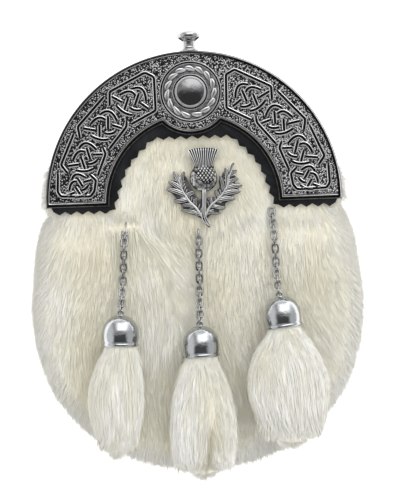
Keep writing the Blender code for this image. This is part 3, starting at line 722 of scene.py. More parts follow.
# ---------- plan of the body
@dataclass
class Plan:
    """The plan outlines that the solids follow, angles in degrees."""

    # rows of angle below the horizontal, leather radius, fur radius
    rows: Array = field(default_factory=lambda: np.array([
        (0, 75, 77.6), (4, 75.2, 81.8), (7.5, 75.9, 85.6), (17, 81.4, 92.8),
        (25.7, 88.4, 100.2), (33, 97.2, 109.2), (40, 105.6, 117.6), (46.7, 113.6, 125.6),
        (53.4, 121.4, 133.4), (61.6, 128.6, 140.2), (69, 132.9, 144.9), (79, 136, 147.8),
        (90, 137, 149)]))
    # rows of angle above the horizontal, radius of the trim's inner edge
    trim_rows: Array = field(default_factory=lambda: np.array([
        (10, 40), (20, 39.6), (30, 39.1), (40, 38.4), (50, 38.2), (57.5, 39)]))
    body_r: float = 76.3
    pelt_r: float = 77.3

    def below(self, turn: Array) -> Array:
        """Degrees below the nearer side's horizontal, 0 above it."""
        turn = np.mod(turn, 360.0)
        return np.where(turn > 180.0, np.minimum(turn - 180.0, 360.0 - turn), 0.0)

    def leather(self, turn: Array) -> Array:
        """Radius of the leather panels."""
        low = self.below(turn)
        return np.where(low > 0, np.interp(low, self.rows[:, 0], self.rows[:, 1]), self.body_r)

    def fur(self, turn: Array) -> Array:
        """Radius of the fur's outline."""
        return np.interp(self.below(turn), self.rows[:, 0], self.rows[:, 2])

    def spill(self, turn: Array) -> Array:
        """0 where the fur lies under the cantle, 1 where it spills over the sides."""
        return smoothstep((self.below(turn) - 0.3) / 4.7)


PLAN = Plan()


# ---------- hair
@dataclass
class Coat:
    """Strands that lie on a form, each a tapered three-sided spike, straight or with one bend."""

    stock: Stock = field(default_factory=Stock)
    normals: list[Array] = field(default_factory=list)
    # height of a strand's ridge as a share of its width, width of its root, and lean of its normals
    depth: float = 0.42
    root_share: float = 0.8
    lean: float = 0.12

    def lay(self, spots: Array, outward: Array, width: Array, patch: Array, tone_and_shade: Array) -> None:
        """Add strands: a ring of three points at the root and at the bend, if any, and one at the tip.

        Args:
            spots: Root, any bend, and tip of each strand, (n, 2 or 3, 3).
            outward: Direction away from the form, (n, 3).
            width: Width of the strand, (n,).
            patch: Colour patch, (n,), 0 to 1, from pale to warm; it also carries painted light and painted
                shade.
            tone_and_shade: Tone of the single strand, (n,), 0 to 1; low values are painted shade in creases.
        """
        n, rings = len(spots), spots.shape[1] - 1
        across = unit(np.cross(outward, unit(spots[:, -1] - spots[:, 0])))
        side, rise = across * (width / 2)[:, None], outward * (width * self.depth)[:, None]
        corner = np.stack([-side, side, rise], 1)
        thick = np.linspace(self.root_share, 1.0, rings)
        points = [spots[:, k:k + 1] + corner * thick[k] for k in range(rings)] + [spots[:, -1:]]
        count, last = 3 * rings + 1, 3 * (rings - 1)
        base = (np.arange(n) * count)[:, None, None]
        tips = [(last, last + 1, count - 1), (last + 1, last + 2, count - 1), (last + 2, last, count - 1),
                (1, 0, 2)]
        faces = [(base + np.array(tips)).reshape(-1, 3)]
        if rings > 1:
            faces.append((base + np.array([(0, 1, 4, 3), (1, 2, 5, 4), (2, 0, 3, 5)])).reshape(-1, 4))
        # along runs from 0 at the root to 1 at the tip; the colour darkens towards the root as painted shade
        along = np.tile(np.append(np.repeat(np.linspace(0.0, 0.55, rings), 3), 1.0), n)
        self.stock.add(np.concatenate(points, 1).reshape(-1, 3), faces, along=along,
                       patch=np.repeat(patch, count), tone_and_shade=np.repeat(tone_and_shade, count))
        lean = np.concatenate([np.stack([-across, across, 0 * across], 1)] * rings + [0 * across[:, None]], 1)
        self.normals.append(unit(outward[:, None, :] + self.lean * lean).reshape(-1, 3))

    def piece(self, name: str) -> bpy.types.Object:
        """Write the strands as one object, lit as the soft form that they lie on."""
        obj = self.stock.piece(name, HAIR)
        obj.data.normals_split_custom_set_from_vertices(np.concatenate(self.normals))
        return obj


@dataclass
class Pelt:
    """The fur body: a padded form of under-fur with strands laid over it."""

    seat: float = 31.5
    under: float = 30.3
    full: float = 37.0
    cover_top: float = 32.3
    sink: float = 1.7
    reach: float = 5.0
    shoulder: float = 12.0
    tuck: float = 5.0
    # heights of the belt and the foot under the cantle, and where the fur spills over the sides
    neck_z: Pair = (31.0, 30.5)
    belt_z: float = 19.0
    foot_z: float = 3.4
    # run of the side from the shoulder to the belt, and on to the foot
    walls: Pair = (22.7, 18.2)
    long_hairs: int = 20000
    fine_hairs: int = 48500
    fringe_hairs: int = 7000
    end_hairs: int = 900
    # size of a clump that leans together, across and along
    clump: Pair = (3.0, 8.0)
    # where the hair is divided into its left, middle and right piece
    thirds: Pair = (-26.0, 26.0)
    # height over the table that every strand keeps
    table_gap: float = 0.5
    # warm patches: x, y, spread and strength; the last, below the trim, is a painted shadow of the trim
    warm: Rows = (
        (-52, -36, 15, 0.4), (-57, -95, 12, 0.4), (-18, -98, 10, 0.1), (32, -98, 9, 0.3),
        (60, -40, 14, 0.3), (-60, -62, 12, 0.25), (10, -40, 10, 0.2), (-2, 16, 24, 0.35))
    # rows of depth below the middle and x of the parting
    parting: Rows = ((14, -33), (24, -29), (34, -21), (46, -15.5), (62, -13.5))

    def free(self, x: Array, y: Array) -> Array:
        """How far a plan point is clear of the trim, in millimetres, negative under it."""
        free = np.maximum(37.0 - np.hypot(x, y), -7.4 - y)
        return np.where(y > 0, np.minimum(free, 31.5 - y), free)

    def rise(self, x: Array, y: Array) -> Array:
        """0 at the trim, easing to 1 where the fur has its full depth."""
        return smoothstep((self.free(x, y) - 4.0) / 13.0)

    def height(self, x: Array, y: Array) -> Array:
        """Height of the under-fur: up from its seat to the full depth, with a dent at the parting."""
        rise = self.rise(x, y)
        full = self.full - 1.0 + np.clip((-22.0 - y) / 18.0, 0.0, 1.0) - self.sink
        soft = 0.5 * waver(x, y, 17.0, 5) + 0.25 * waver(x, y, 7.0, 6)
        dent = np.exp(-(self.from_parting(x, y) / 2.2) ** 2)
        dent = dent * smoothstep((-12.0 - y) / 8.0) * smoothstep((y + 66.0) / 12.0)
        level = self.seat + (full + soft - self.seat) * rise
        return level + 5.0 * self.mound(x, y) * (1 - 0.6 * rise) - 1.3 * dent

    def mound(self, x: Array, y: Array) -> Array:
        """0 to 1: the lock that lies over the top of the left chain."""
        over = np.exp(-np.square((x + 37.0) / 10.0) - np.square((y + 14.0) / 7.5))
        return over * smoothstep(self.free(x, y) / 8.0)

    def from_parting(self, x: Array, y: Array) -> Array:
        """Plan distance to the right of the parting that runs down between the left and centre chains."""
        return x - np.interp(-y, *np.array(self.parting).T)

    def base_r(self, turn: Array) -> Array:
        """Radius of the under-fur's outline."""
        spill = PLAN.spill(turn)
        return PLAN.pelt_r + (PLAN.fur(turn) - self.reach - PLAN.pelt_r) * spill

    def form(self, q: Array) -> Array:
        """Point of the form for an unrolled plan point.

        The front is flat out to the shoulder. Beyond it the distance from the middle is
        spent on a quarter ellipse down to the belt, then on one that tucks in to the foot.

        Args:
            q: Unrolled plan points, (..., 2).

        Returns:
            Points of the form, (..., 3).
        """
        reach = np.maximum(np.hypot(q[..., 0], q[..., 1]), 1e-6)
        spill, edge = PLAN.spill(bearing(q)), self.base_r(bearing(q))
        start = edge - self.shoulder * spill
        a = np.clip((reach - start) / self.walls[0], 0.0, 1.0) * np.pi / 2
        b = np.clip((reach - start - self.walls[0]) / self.walls[1], 0.0, 1.0) * np.pi / 2
        flat = np.minimum(reach, start)
        radius = flat + self.shoulder * spill * np.sin(a) - self.tuck * spill * (1 - np.cos(b))
        x, y = radius * q[..., 0] / reach, radius * q[..., 1] / reach
        flat = np.minimum(radius, start)
        crown = self.height(flat * q[..., 0] / reach, flat * q[..., 1] / reach)
        belt = self.neck_z[0] + (self.belt_z - self.neck_z[0]) * spill
        foot = self.neck_z[1] + (self.foot_z - self.neck_z[1]) * spill
        z = belt + (crown - belt) * np.cos(a) - (belt - foot) * np.sin(b)
        return np.stack([x, y, z], -1)

    def outward(self, q: Array) -> Array:
        """Unit vector away from the form: the cross product of two short steps on it."""
        step = 0.4
        dx = self.form(q + [step, 0.0]) - self.form(q - [step, 0.0])
        dy = self.form(q + [0.0, step]) - self.form(q - [0.0, step])
        return unit(np.cross(dx, dy))

    def flow(self, q: Array) -> Array:
        """Unit direction in which the hair lies: down the pouch, fanning to the sides and the foot."""
        x, y = q[..., 0], q[..., 1]
        lean = 5.0 + 16.0 * x / 80.0 + 20.0 * x / 38.0 * smoothstep((y + 4.0) / 26.0)
        lean += 13.0 * waver(x, y, 30.0, 11) + 9.0 * waver(x, y, 9.0, 12)
        beyond = smoothstep(self.from_parting(x, y) / 4.0) * smoothstep((-4.0 - x) / 8.0 + 1.0)
        lean += 34.0 * beyond * smoothstep((-10.0 - y) / 10.0) * smoothstep((y + 72.0) / 20.0)
        a = np.radians(lean)
        way = np.stack([np.sin(a), -np.cos(a)], -1)
        return unit(way + unit(q) * (0.85 * self.near_rim(q, 24.0, 26.0))[..., None])

    def near_rim(self, q: Array, inside: float, over: float) -> Array:
        """0 on the front, easing to 1 over a distance that starts so far inside the outline."""
        reach = np.hypot(q[..., 0], q[..., 1]) - self.base_r(bearing(q))
        return smoothstep((reach + inside) / over) * PLAN.spill(bearing(q))

    def tint(self, x: Array, y: Array) -> Array:
        """How warm the fur is, 0 to 1: soft patches over an even cream, one of them a painted shadow below
        the trim.
        """
        value = (0.3 + 0.16 * waver(x, y, 24.0, 31) + 0.14 * waver(x, y, 9.0, 33)
                 + 0.12 * waver(x, y * 0.4, 4.0, 32))
        for cx, cy, spread, much in self.warm:
            value = value + much * np.exp(-(np.square(x - cx) + 0.4 * np.square(y - cy)) / spread ** 2)
        return np.clip(value, 0.0, 1.0)

    def roots(self, rng: np.random.Generator, count: int) -> Array:
        """Unrolled root points spread evenly over the part of the form that shows."""
        kept: list[Array] = []
        while sum(map(len, kept)) < count:
            q = rng.uniform((-140.0, -190.0), (140.0, 36.0), (count, 2))
            x, y, _ = self.form(q).T
            spill = PLAN.spill(bearing(q))
            span = self.base_r(bearing(q)) - self.shoulder * spill + sum(self.walls) * 0.85
            reach, plan = np.hypot(q[:, 0], q[:, 1]), np.hypot(x, y)
            shown = (self.free(x, y) > -4.5) | ((plan > 78.0) & (spill > 0.1))
            fair = rng.uniform(0.0, 1.0, count) < np.clip(plan / np.maximum(reach, 1e-6), 0.0, 1.0)
            kept.append(q[shown & fair & (reach < span)])
        return np.concatenate(kept)[:count]

    def strand(self, rng: np.random.Generator, q: Array, length: Array, lift: Array, free_end: Array,
               rim: Array) -> Array:
        """Root, bend and tip of strands that follow the form.

        Args:
            rng: The random source.
            q: Unrolled roots, (n, 2).
            length: Length of each strand, (n,).
            lift: Heights of bend and tip over the form, (n, 2).
            free_end: Share of a straight, unsupported run in the strand's way, (n,).
            rim: How near each root is to the rim, (n,), 0 to 1.

        Returns:
            Points, (n, 3, 3).
        """
        cell = np.array(self.clump)
        number = np.floor(q / cell).astype(int)
        table = np.random.default_rng(21).uniform(-0.5, 0.5, (97, 97, 3))
        clump = table[number[:, 0] % 97, number[:, 1] % 97]
        pull = (number + 0.5 + 0.7 * clump[:, :2]) * cell - q
        way = self.flow(q)
        middle = q + way * (length * 0.5)[:, None] + pull * 0.12
        tip = middle + self.flow(middle) * (length * 0.5)[:, None] + pull * np.array([0.26, 0.06])
        tip += rng.normal(0.0, 0.5, tip.shape)
        root = self.form(q) + self.outward(q) * (rim * 0.9 + 0.5 * self.mound(*q.T) - 0.3)[:, None]
        lift = lift + (clump[:, 2:] * [0.12, 0.35])
        bend = self.form(middle) + self.outward(middle) * np.maximum(lift[:, :1], 0.2)
        end = self.form(tip) + self.outward(tip) * np.maximum(lift[:, 1:], 0.3)
        ahead = unit(self.form(q + way * 0.5) - self.form(q))
        straight = bend + ahead * (length * 0.5)[:, None] + np.array([0.0, 0.0, -0.16]) * length[:, None]
        end += (straight - end) * free_end[:, None]
        spots = np.stack([root, bend, end], 1)
        flat = spots.reshape(-1, 3)
        covered = (self.free(flat[:, 0], flat[:, 1]) < 0.3) & (np.hypot(flat[:, 0], flat[:, 1]) < 79.4)
        flat[:, 2] = np.where(covered, np.minimum(flat[:, 2], self.cover_top), flat[:, 2])
        flat[:, 2] = np.maximum(flat[:, 2], self.table_gap)
        return flat.reshape(-1, 3, 3)

    def hair(self) -> None:
        """Lay the strands in three pieces: long bent ones and short fine ones."""
        coats = [Coat(), Coat(), Coat()]
        for bent, count, seed in ((True, self.long_hairs, 7), (False, self.fine_hairs, 8)):
            rng = np.random.default_rng(seed)
            q = self.roots(rng, count)
            n = len(q)
            x, y, _ = self.form(q).T
            rim, over = self.near_rim(q, 14.0, 12.0), self.mound(x, y)
            near = 0.35 + 0.65 * np.maximum(self.rise(x, y), rim)
            length = rng.uniform(*((10.0, 17.0) if bent else (6.0, 10.5)), n) * (0.65 + 0.35 * near)
            near, length = near + (1 - near) * over, length * (1 - 0.35 * over)
            low, high = 0.25 + 1.5 * rim + 0.9 * over, 0.4 + 2.4 * rim + 0.6 * over
            lift = np.stack([low + rng.uniform(0.0, 0.4, n), high + rng.uniform(0.0, 0.6, n) * (1 + rim)], 1)
            loose = (rng.uniform(0, 1, n) < 0.45) * rim * rng.uniform(0.3, 1.0, n)
            spots = self.strand(rng, q, length, lift * near[:, None], loose, rim)
            width = rng.uniform(*((0.2, 0.46) if bent else (0.18, 0.36)), n)
            # paler at the rim and most of all at the foot: painted light where the rim and the foot fall into
            # shade
            pale = (0.35 + 0.6 * smoothstep((-95.0 - y) / 25.0)) * rim
            patch = np.clip(self.tint(x, y) * (1 - pale) + rng.normal(0, 0.035, n), 0, 1)
            outward = self.outward(q)
            outward = self.toward_light(outward, rim * np.clip(0.15 + 1.6 * outward[:, 2], 0.0, 1.0))
            tone_and_shade = np.clip(rng.normal(0.6, 0.2, n), 0.15, 1)
            spots = spots if bent else spots[:, ::2]
            for pick, coat in zip(self.parted(x), coats):
                coat.lay(spots[pick], outward[pick], width[pick], patch[pick], tone_and_shade[pick])
        self.fringe(coats)
        self.cut_ends(coats)
        for coat, name in zip(coats, ("left", "middle", "right")):
            coat.piece("pelt_hair_" + name)

    def parted(self, x: Array) -> list[Array]:
        """Which roots belong to the left, the middle and the right piece."""
        third = np.digitize(x, self.thirds)
        return [third == k for k in range(3)]

    def toward_light(self, outward: Array, share: Array) -> Array:
        """Normals leant to the front, because light passes through fine hair at the rim."""
        return unit(outward * (1.0 - 0.85 * share)[:, None] + np.outer(0.85 * share, FRONT))

    def fringe(self, coats: list[Coat]) -> None:
        """Fine loose hairs that stand out past the sides and the foot, and a few from behind the cantle."""
        rng = np.random.default_rng(9)
        n = self.fringe_hairs
        turn = rng.uniform(-16.0, 192.0, n) + 180.0
        behind = rng.uniform(0, 1, n) < 0.016
        turn = np.where(behind, rng.choice([1.0, 179.0], n) + rng.normal(0.0, 3.0, n), turn)
        low = PLAN.spill(turn)
        reach = self.base_r(turn) - self.shoulder * low + self.walls[0] * rng.uniform(0.15, 0.75, n) * low
        radial = polar(1.0, turn)
        q = radial * reach[:, None]
        root, outward = self.form(q), self.outward(q)
        root[:, 2] -= rng.uniform(1.0, 7.0, n) * (1 - low)
        radial = np.column_stack([radial, np.zeros(n)])
        down = np.column_stack([np.zeros(n), -np.ones(n), np.zeros(n)])
        way = unit(radial * rng.uniform(0.5, 1.0, n)[:, None] + down * rng.uniform(0.2, 0.9, n)[:, None]
                   + outward * 0.25 + rng.normal(0.0, 0.14, (n, 3)))
        length = 3.0 + 7.5 * rng.uniform(0.0, 1.0, n) ** 1.8
        bend = root + way * (length * 0.5)[:, None] + radial * rng.uniform(0.0, 0.8, n)[:, None]
        tip = root + way * length[:, None] + down * (0.12 * length)[:, None] - [0.0, 0.0, 0.8]
        spots = np.stack([root - radial * 0.4, bend, tip], 1)
        ceiling = np.where(low < 0.9, self.cover_top - 0.1, np.inf)[:, None]
        spots[:, :, 2] = np.clip(spots[:, :, 2], self.table_gap, ceiling)
        outward = self.toward_light(outward, np.clip(0.5 + 1.6 * outward[:, 2], 0.0, 1.0))
        # fringe hairs pale and at full tone: painted light at the rim
        for pick, coat in zip(self.parted(root[:, 0]), coats):
            coat.lay(spots[pick], outward[pick], rng.uniform(0.1, 0.2, n)[pick],
                     np.clip(rng.normal(0.1, 0.08, n), 0, 1)[pick], np.ones(pick.sum()))

    def cut_ends(self, coats: list[Coat]) -> None:
        """Short hair on the pelt's two cut ends, where it stops beside the cantle's feet."""
        rng = np.random.default_rng(19)
        n = self.end_hairs
        left = rng.uniform(0, 1, n) < 0.5
        drop = rng.uniform(0.5, 5.2, n)
        turn = np.where(left, 180.0 + drop, 360.0 - drop)
        reach = self.base_r(turn) - self.shoulder * PLAN.spill(turn)
        reach = reach + sum(self.walls) * rng.uniform(0.15, 0.98, n)
        radial = polar(1.0, turn)
        q = radial * reach[:, None]
        root, outward = self.form(q), self.outward(q)
        way = unit(outward + np.column_stack([0.5 * radial[:, 0], np.full(n, -0.1), np.full(n, -0.35)])
                   + rng.normal(0.0, 0.22, (n, 3)))
        length = rng.uniform(2.0, 4.6, n)
        tip = root + way * length[:, None] - [0.0, 0.6, 0.5]
        spots = np.stack([root - outward * 0.3, root + way * (0.6 * length)[:, None], tip], 1)
        spots[:, :, 2] = np.clip(spots[:, :, 2], self.table_gap, self.cover_top - 0.5)
        for coat, side in ((coats[0], left), (coats[2], ~left)):
            m = side.sum()
            coat.lay(spots[side], unit(outward + [0.0, 0.2, 0.5])[side], rng.uniform(0.18, 0.34, m),
                     np.full(m, 0.2), np.clip(rng.normal(0.7, 0.2, m), 0.15, 1))

    def underfur(self) -> None:
        """The closed form under the strands: rings out over the front, down the sides and back under."""
        turns = np.concatenate([np.linspace(0, 180, 70, endpoint=False),
                                np.linspace(180, 360, 150, endpoint=False)])
        ring = polar(1.0, turns)
        start = self.base_r(turns) - self.shoulder * PLAN.spill(turns)
        reaches = [start * share for share in np.linspace(0.03, 1.0, 44)]
        reaches += [start + self.walls[0] * share for share in np.linspace(0.0, 1.0, 9)[1:]]
        reaches += [start + self.walls[0] + self.walls[1] * share for share in np.linspace(0.0, 1.0, 7)[1:]]
        rows = [self.form(ring * reach[:, None]) for reach in reaches]
        wall = np.maximum(PLAN.leather(turns) + 0.9, PLAN.pelt_r - 0.4)
        floor = np.full(len(turns), self.under)
        for reach, z in ((wall + 0.1, rows[-1][:, 2]), (wall, floor), (20.0 + 0 * wall, floor)):
            rows.append(np.column_stack([ring * reach[:, None], z]))
        points = np.vstack([*rows, self.form(np.zeros((1, 2))), [[0, 0, self.under]]])
        stock = Stock()
        stock.add(points, capped(len(rows), len(turns)))
        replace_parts(stock.piece("under_fur", UNDERFUR), "fur_pelt")

    def build(self) -> None:
        """Make the under-fur and its hair."""
        self.underfur()
        self.hair()


# ---------- tassels, bells, chains
@dataclass
class Drop:
    """One chain, its bell cap with an eye, and its hair tassel."""

    side: str
    top: Pair
    turn: float
    # rows of y, left x, right x, half thickness
    rows: Rows
    tip: Pair
    # rows of x, y, z along the chain
    route: Rows
    seed: int = 0
    # rows of angle round the tassel, half width in degrees, depth, and share where it starts
    creases: Rows = ()
    bell_z: float = 49.0
    long_hairs: int = 3200
    fine_hairs: int = 8000
    brush_hairs: int = 1300
    # clumps round the tassel, turn of all its hair in radians, and the painted shade that darkens strands in
    # the creases
    clumps: int = 30
    sweep_turn: float = 0.0
    crease_shade: float = 1.7
    end_rise: float = 2.4
    overhang: float = 40.0
    eye_rise: float = 1.1
    eye_r: float = 1.4
    eye_wire: float = 0.5
    wire: float = 0.56
    pitch: float = 3.45
    link: Pair = (5.7, 4.3)

    @property
    def way(self) -> Array:
        """Unit direction in which the bell points, from its eye to its mouth."""
        a = np.radians(self.turn)
        return np.array([np.sin(a), -np.cos(a), 0.0])

    @property
    def crown(self) -> Array:
        """The bell's top, where its eye stands."""
        return np.array([*self.top, self.bell_z])

    def sections(self) -> Array:
        """Rows of centre x, y, half width and half thickness, from inside the bell to the tip."""
        rows = [(*(self.crown + self.way * a)[:2], r, r) for a, r in ((9.0, 5.0), (13.5, 7.3), (16.8, 7.6))]
        for y, left, right, thick in self.rows:
            rows.append(((left + right) / 2, y, (right - left) / 2 - 1.2, thick - 1.0))
        last = rows[-1]
        rows[-1] = (last[0], last[1], last[2] * 1.3, last[3] * 1.25)
        rows.append(((last[0] + self.tip[0]) / 2, (last[1] + self.tip[1]) / 2, last[2] * 1.14, last[3]))
        rows.append((*self.tip, last[2] * 0.62, 3.4))
        return curve(np.array(rows), 6)

    def form(self, turn: Array, share: Array, rows: Array, held: Array | None = None,
             keep: Array = 0.0) -> Array:
        """Point of the tassel: an ellipse about its middle line at a share of its length.

        Args:
            turn: Angle round the ellipse in radians.
            share: Share of the length, past 1 for hair that hangs free of the tip.
            rows: The sections, rows of centre x, y, half width and half thickness.
            held: Share whose section a strand still has, where it hangs straight.
            keep: How much of that section it keeps, 0 to 1.

        Returns:
            Points, (..., 3).
        """
        number = np.arange(len(rows))
        at = np.clip(share, 0.0, 1.0) * (len(rows) - 1)
        x, y, half, thick = (np.interp(at, number, rows[:, k]) for k in range(4))
        if held is not None:
            back = np.clip(held, 0.0, 1.0) * (len(rows) - 1)
            half = half + (np.interp(back, number, rows[:, 2]) - half) * keep
            thick = thick + (np.interp(back, number, rows[:, 3]) - thick) * keep
            x = x + (np.interp(back, number, rows[:, 0]) - x) * keep * 0.5
        past = np.maximum(share - 1.0, 0.0) * self.overhang
        full = 1.0 - self.groove(turn, share)
        return np.stack([x + half * full * np.cos(turn), y - past + 0 * turn,
                         self.bell_z + thick * full * np.sin(turn)], -1)

    def groove(self, turn: Array, share: Array, spread: float = 1.0) -> Array:
        """How deep the creases are at a point, as a share of the radius."""
        depth = 0.0 * turn * share
        for middle, wide, deep, start in self.creases:
            near = np.exp(-(angle_from(turn, middle) / np.radians(wide * spread)) ** 2)
            depth = depth + deep * near * smoothstep((share - start) / 0.3)
        return depth

    def outward(self, turn: Array, share: Array, rows: Array) -> Array:
        """Unit vector away from the tassel: the cross product of two short steps on it."""
        round_step = self.form(turn + 0.02, share, rows) - self.form(turn - 0.02, share, rows)
        down_step = self.form(turn, np.minimum(share + 0.01, 1.0), rows) - self.form(turn, share - 0.01, rows)
        return unit(np.cross(round_step, down_step))

    def tassel(self) -> None:
        """The tassel's body with its domed end, and the strands over it."""
        rows = self.sections()
        turns = np.linspace(0, 2 * np.pi, 48, endpoint=False)
        shares = np.linspace(0.0, 1.0, 44)
        body = self.form(turns[None], shares[:, None], rows)
        ripple = (1 + np.sin(7 * turns + self.seed))[None]
        waves = 1.0 - 0.015 * smoothstep((shares - 0.3) / 0.3)[:, None] * ripple
        centre = body.mean(1, keepdims=True)
        body = centre + (body - centre) * waves[..., None]
        end = body[-1].mean(0)
        dome = np.array([0.88, 0.66, 0.36])[:, None, None]
        rise = self.way * (self.end_rise * (1 - dome ** 2))
        body = np.concatenate([body, end + (body[-1] - end) * dome + rise])
        points = np.vstack([body.reshape(-1, 3), body[0].mean(0), end + self.way * self.end_rise])
        stock = Stock()
        stock.add(points, capped(*body.shape[:2]))
        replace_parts(stock.piece(f"tassel_{self.side}_body", UNDERFUR), "tassel_" + self.side)
        coat = Coat()
        self.hair(coat, rows, bent=True)
        self.hair(coat, rows, bent=False)
        self.brush(coat, rows)
        coat.piece(f"tassel_{self.side}_hair")

    def hair(self, coat: Coat, rows: Array, bent: bool) -> None:
        """Strands that run down the tassel, drawn into clumps and out of the creases.

        Args:
            coat: Where they are added.
            rows: The tassel's sections.
            bent: True for the long bent strands, False for the short fine ones.
        """
        rng = np.random.default_rng((100 if bent else 200) + self.seed)
        m, length = self.long_hairs if bent else self.fine_hairs, path_length(rows[:, :2])
        turn = rng.uniform(0, 2 * np.pi, m)
        share = rng.uniform(*((0.07, 0.9) if bent else (0.1, 0.97)), m)
        run = rng.uniform(*((10.0, 20.0) if bent else (5.0, 9.0)), m) / length
        end = rng.uniform(0.95, 1.03, m)
        cell = np.floor(turn * self.clumps / (2 * np.pi)) + 0.5
        table = np.random.default_rng(self.seed).uniform(-1, 1, (self.clumps, 12, 2))
        clump = table[cell.astype(int) % self.clumps, (share * 11).astype(int)]
        pull = (cell + 0.3 * clump[:, 0]) * 2 * np.pi / self.clumps - turn
        wander = waver(turn * 3, share * 7, 1.0, 40 + self.seed)
        sway = self.sweep_turn * run + 0.3 * run * length / 15 * wander
        for middle, wide, deep, start in self.creases:
            off = angle_from(turn, middle)
            near = np.exp(-(off / np.radians(1.6 * wide)) ** 2) * smoothstep((share + run - start) / 0.2)
            sway = sway + 2.4 * deep * np.radians(wide) * np.tanh(off / np.radians(0.25 * wide)) * near
        bend = rng.uniform(0.25, 0.55, m)
        high = rng.uniform(0.35, 0.9, m) + 0.15 * clump[:, 1] + 1.5 * (rng.uniform(0, 1, m) < 0.12)
        lift = np.stack([np.full(m, -0.3), bend, high], 1) * np.where(share < 0.2, 0.55, 1.0)[:, None]
        hang = np.where(rng.uniform(0, 1, m) < 0.4, 0.85, 0.3)
        spots = []
        for k, (part, draw) in enumerate(((0.0, 0.0), (0.5, 0.15), (1.0, 0.36))):
            s, t = np.minimum(share + run * part, end), turn + pull * draw + sway * part
            keep = smoothstep((s - 0.66) / 0.3) * hang
            spots.append(self.form(t, s, rows, np.minimum(share, 0.85), keep)
                         + self.outward(t, np.minimum(s, 0.97), rows) * lift[:, k:k + 1])
        out = self.outward(turn, np.minimum(share + run * 0.5, 0.97), rows)
        out = unit(out + np.outer(0.8 * smoothstep((out[:, 2] + 0.5) / 0.5), FRONT))
        blotch = 0.25 * waver(turn * 2, share * 5, 1.0, 50 + self.seed)
        patch = np.clip(0.18 + blotch + rng.normal(0, 0.06, m), 0, 1)
        width = rng.uniform(*((0.2, 0.44) if bent else (0.18, 0.36)), m)
        # strands in the creases are darkened: painted shade
        tone_and_shade = rng.normal(0.85, 0.12, m) - self.crease_shade * self.groove(turn, share + run * 0.8, 0.9)
        coat.lay(np.stack(spots if bent else spots[::2], 1), out, width, patch, np.clip(tone_and_shade, 0, 1))

    def brush(self, coat: Coat, rows: Array) -> None:
        """Hair rooted all over the domed end, which droops over it and stands out below in wisps."""
        rng = np.random.default_rng(300 + self.seed)
        m = self.brush_hairs
        turn = rng.uniform(0, 2 * np.pi, m)
        share = np.full(m, 0.99)
        middle = (self.form(turn * 0, share, rows) + self.form(turn * 0 + np.pi, share, rows)) / 2
        out = rng.uniform(0.0, 1.0, m)[:, None] ** 0.5
        radial = self.form(turn, share, rows) - middle
        root = middle + radial * out + self.way * (self.end_rise * (1 - out ** 2) - 0.3)
        droop = np.column_stack([np.zeros(m), np.zeros(m), -rng.uniform(0.0, 0.9, m)])
        ahead = unit(self.way * rng.uniform(0.35, 0.8, (m, 1)) + unit(radial) * rng.uniform(-0.9, 0.2, (m, 1))
                     + droop + rng.normal(0.0, 0.15, (m, 3)))
        tip = root + ahead * rng.uniform(2.5, 7.5, (m, 1))
        lit = unit(unit(radial) * 0.4 + self.way * 0.8 + [0.0, 0.0, 0.55])
        # hairs over the creases are darkened: painted shade
        shade = self.crease_shade * self.groove(turn, share + 0.05, 0.9)
        coat.lay(np.stack([root, tip], 1), lit, rng.uniform(0.22, 0.46, m), np.full(m, 0.15),
                 np.clip(rng.normal(0.75, 0.22, m) - shade, 0, 1))

    def bell(self) -> None:
        """The polished cap, its rolled lip, and the eye on top."""
        outer = curve(np.array([(0, 1.9), (1, 4.9), (3.4, 7.6), (6.8, 9.35), (10.4, 9.85), (13.4, 9.6),
                                (14.4, 9.3)]), 5)
        lip = np.array([(14.75, 9.45), (15.2, 9.62), (15.7, 9.6), (16.15, 9.35), (16.4, 8.9), (16.2, 8.4)])
        inner = np.array([(14.6, 8.5), (10.8, 8.95), (7.0, 8.5), (3.8, 6.9), (1.9, 4.3)])
        profile = np.vstack([[(-0.05, 0.0)], outer, lip, inner, [(1.1, 0.0)]])
        points, faces = turned(profile, 64)
        stock = Stock()
        stock.add(place(points, self.crown, (90.0, 0.0, self.turn)), faces)
        centre = self.crown - self.way * self.eye_rise
        a = np.radians(around(28))
        ring = centre + self.eye_r * np.stack([np.cos(a), np.sin(a), 0 * a], -1)
        stock.add(*sweep(ring, polar(self.eye_wire, around(10)), closed=True))
        collar = np.array([(-0.6, 0.0), (-0.6, 1.2), (-0.4, 1.7), (0.0, 2.0), (0.5, 2.1), (0.5, 0.0)])
        points, faces = turned(collar, 32)
        stock.add(place(points, self.crown, (90.0, 0.0, self.turn)), faces)
        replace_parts(stock.piece("bell_cap_" + self.side, CHROME, crease=50.0), "bell_" + self.side)

    def chain(self) -> None:
        """Links along the route, each an oval ring of wire, turned a quarter from the one before."""
        line = curve(np.array(self.route), 12)
        count = round(path_length(line) / self.pitch) + 1
        centres = resample(line, count * 2 - 1)[::2]
        ahead = unit(np.gradient(centres, axis=0))
        rng = np.random.default_rng(60 + self.seed)
        a = np.linspace(0, 2 * np.pi, 22, endpoint=False)
        reach, wide = self.link[0] / 2 - self.wire, self.link[1] / 2 - self.wire
        along = np.clip(np.sin(a) * reach * 1.16, -reach, reach)
        across = np.sign(np.cos(a)) * wide * np.abs(np.cos(a)) ** 0.62
        section = polar(self.wire, around(8))
        stock = Stock()
        for k in range(count):
            turn = np.radians((90.0 if (count - k) % 2 else 0.0) + rng.uniform(-14, 14))
            side = unit(np.cross(ahead[k], FRONT))
            up = unit(np.cross(side, ahead[k]))
            plane = side * np.cos(turn) + up * np.sin(turn)
            lift = np.cross(plane, ahead[k])
            ring = centres[k] + ahead[k] * along[:, None] + plane * across[:, None]
            stock.add(*sweep(ring, section, closed=True, up=lift))
        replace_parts(stock.piece("links_" + self.side, STEEL), "chain_" + self.side)

    def build(self) -> None:
        """Make the chain, the bell and the tassel."""
        self.chain()
        self.bell()
        self.tassel()


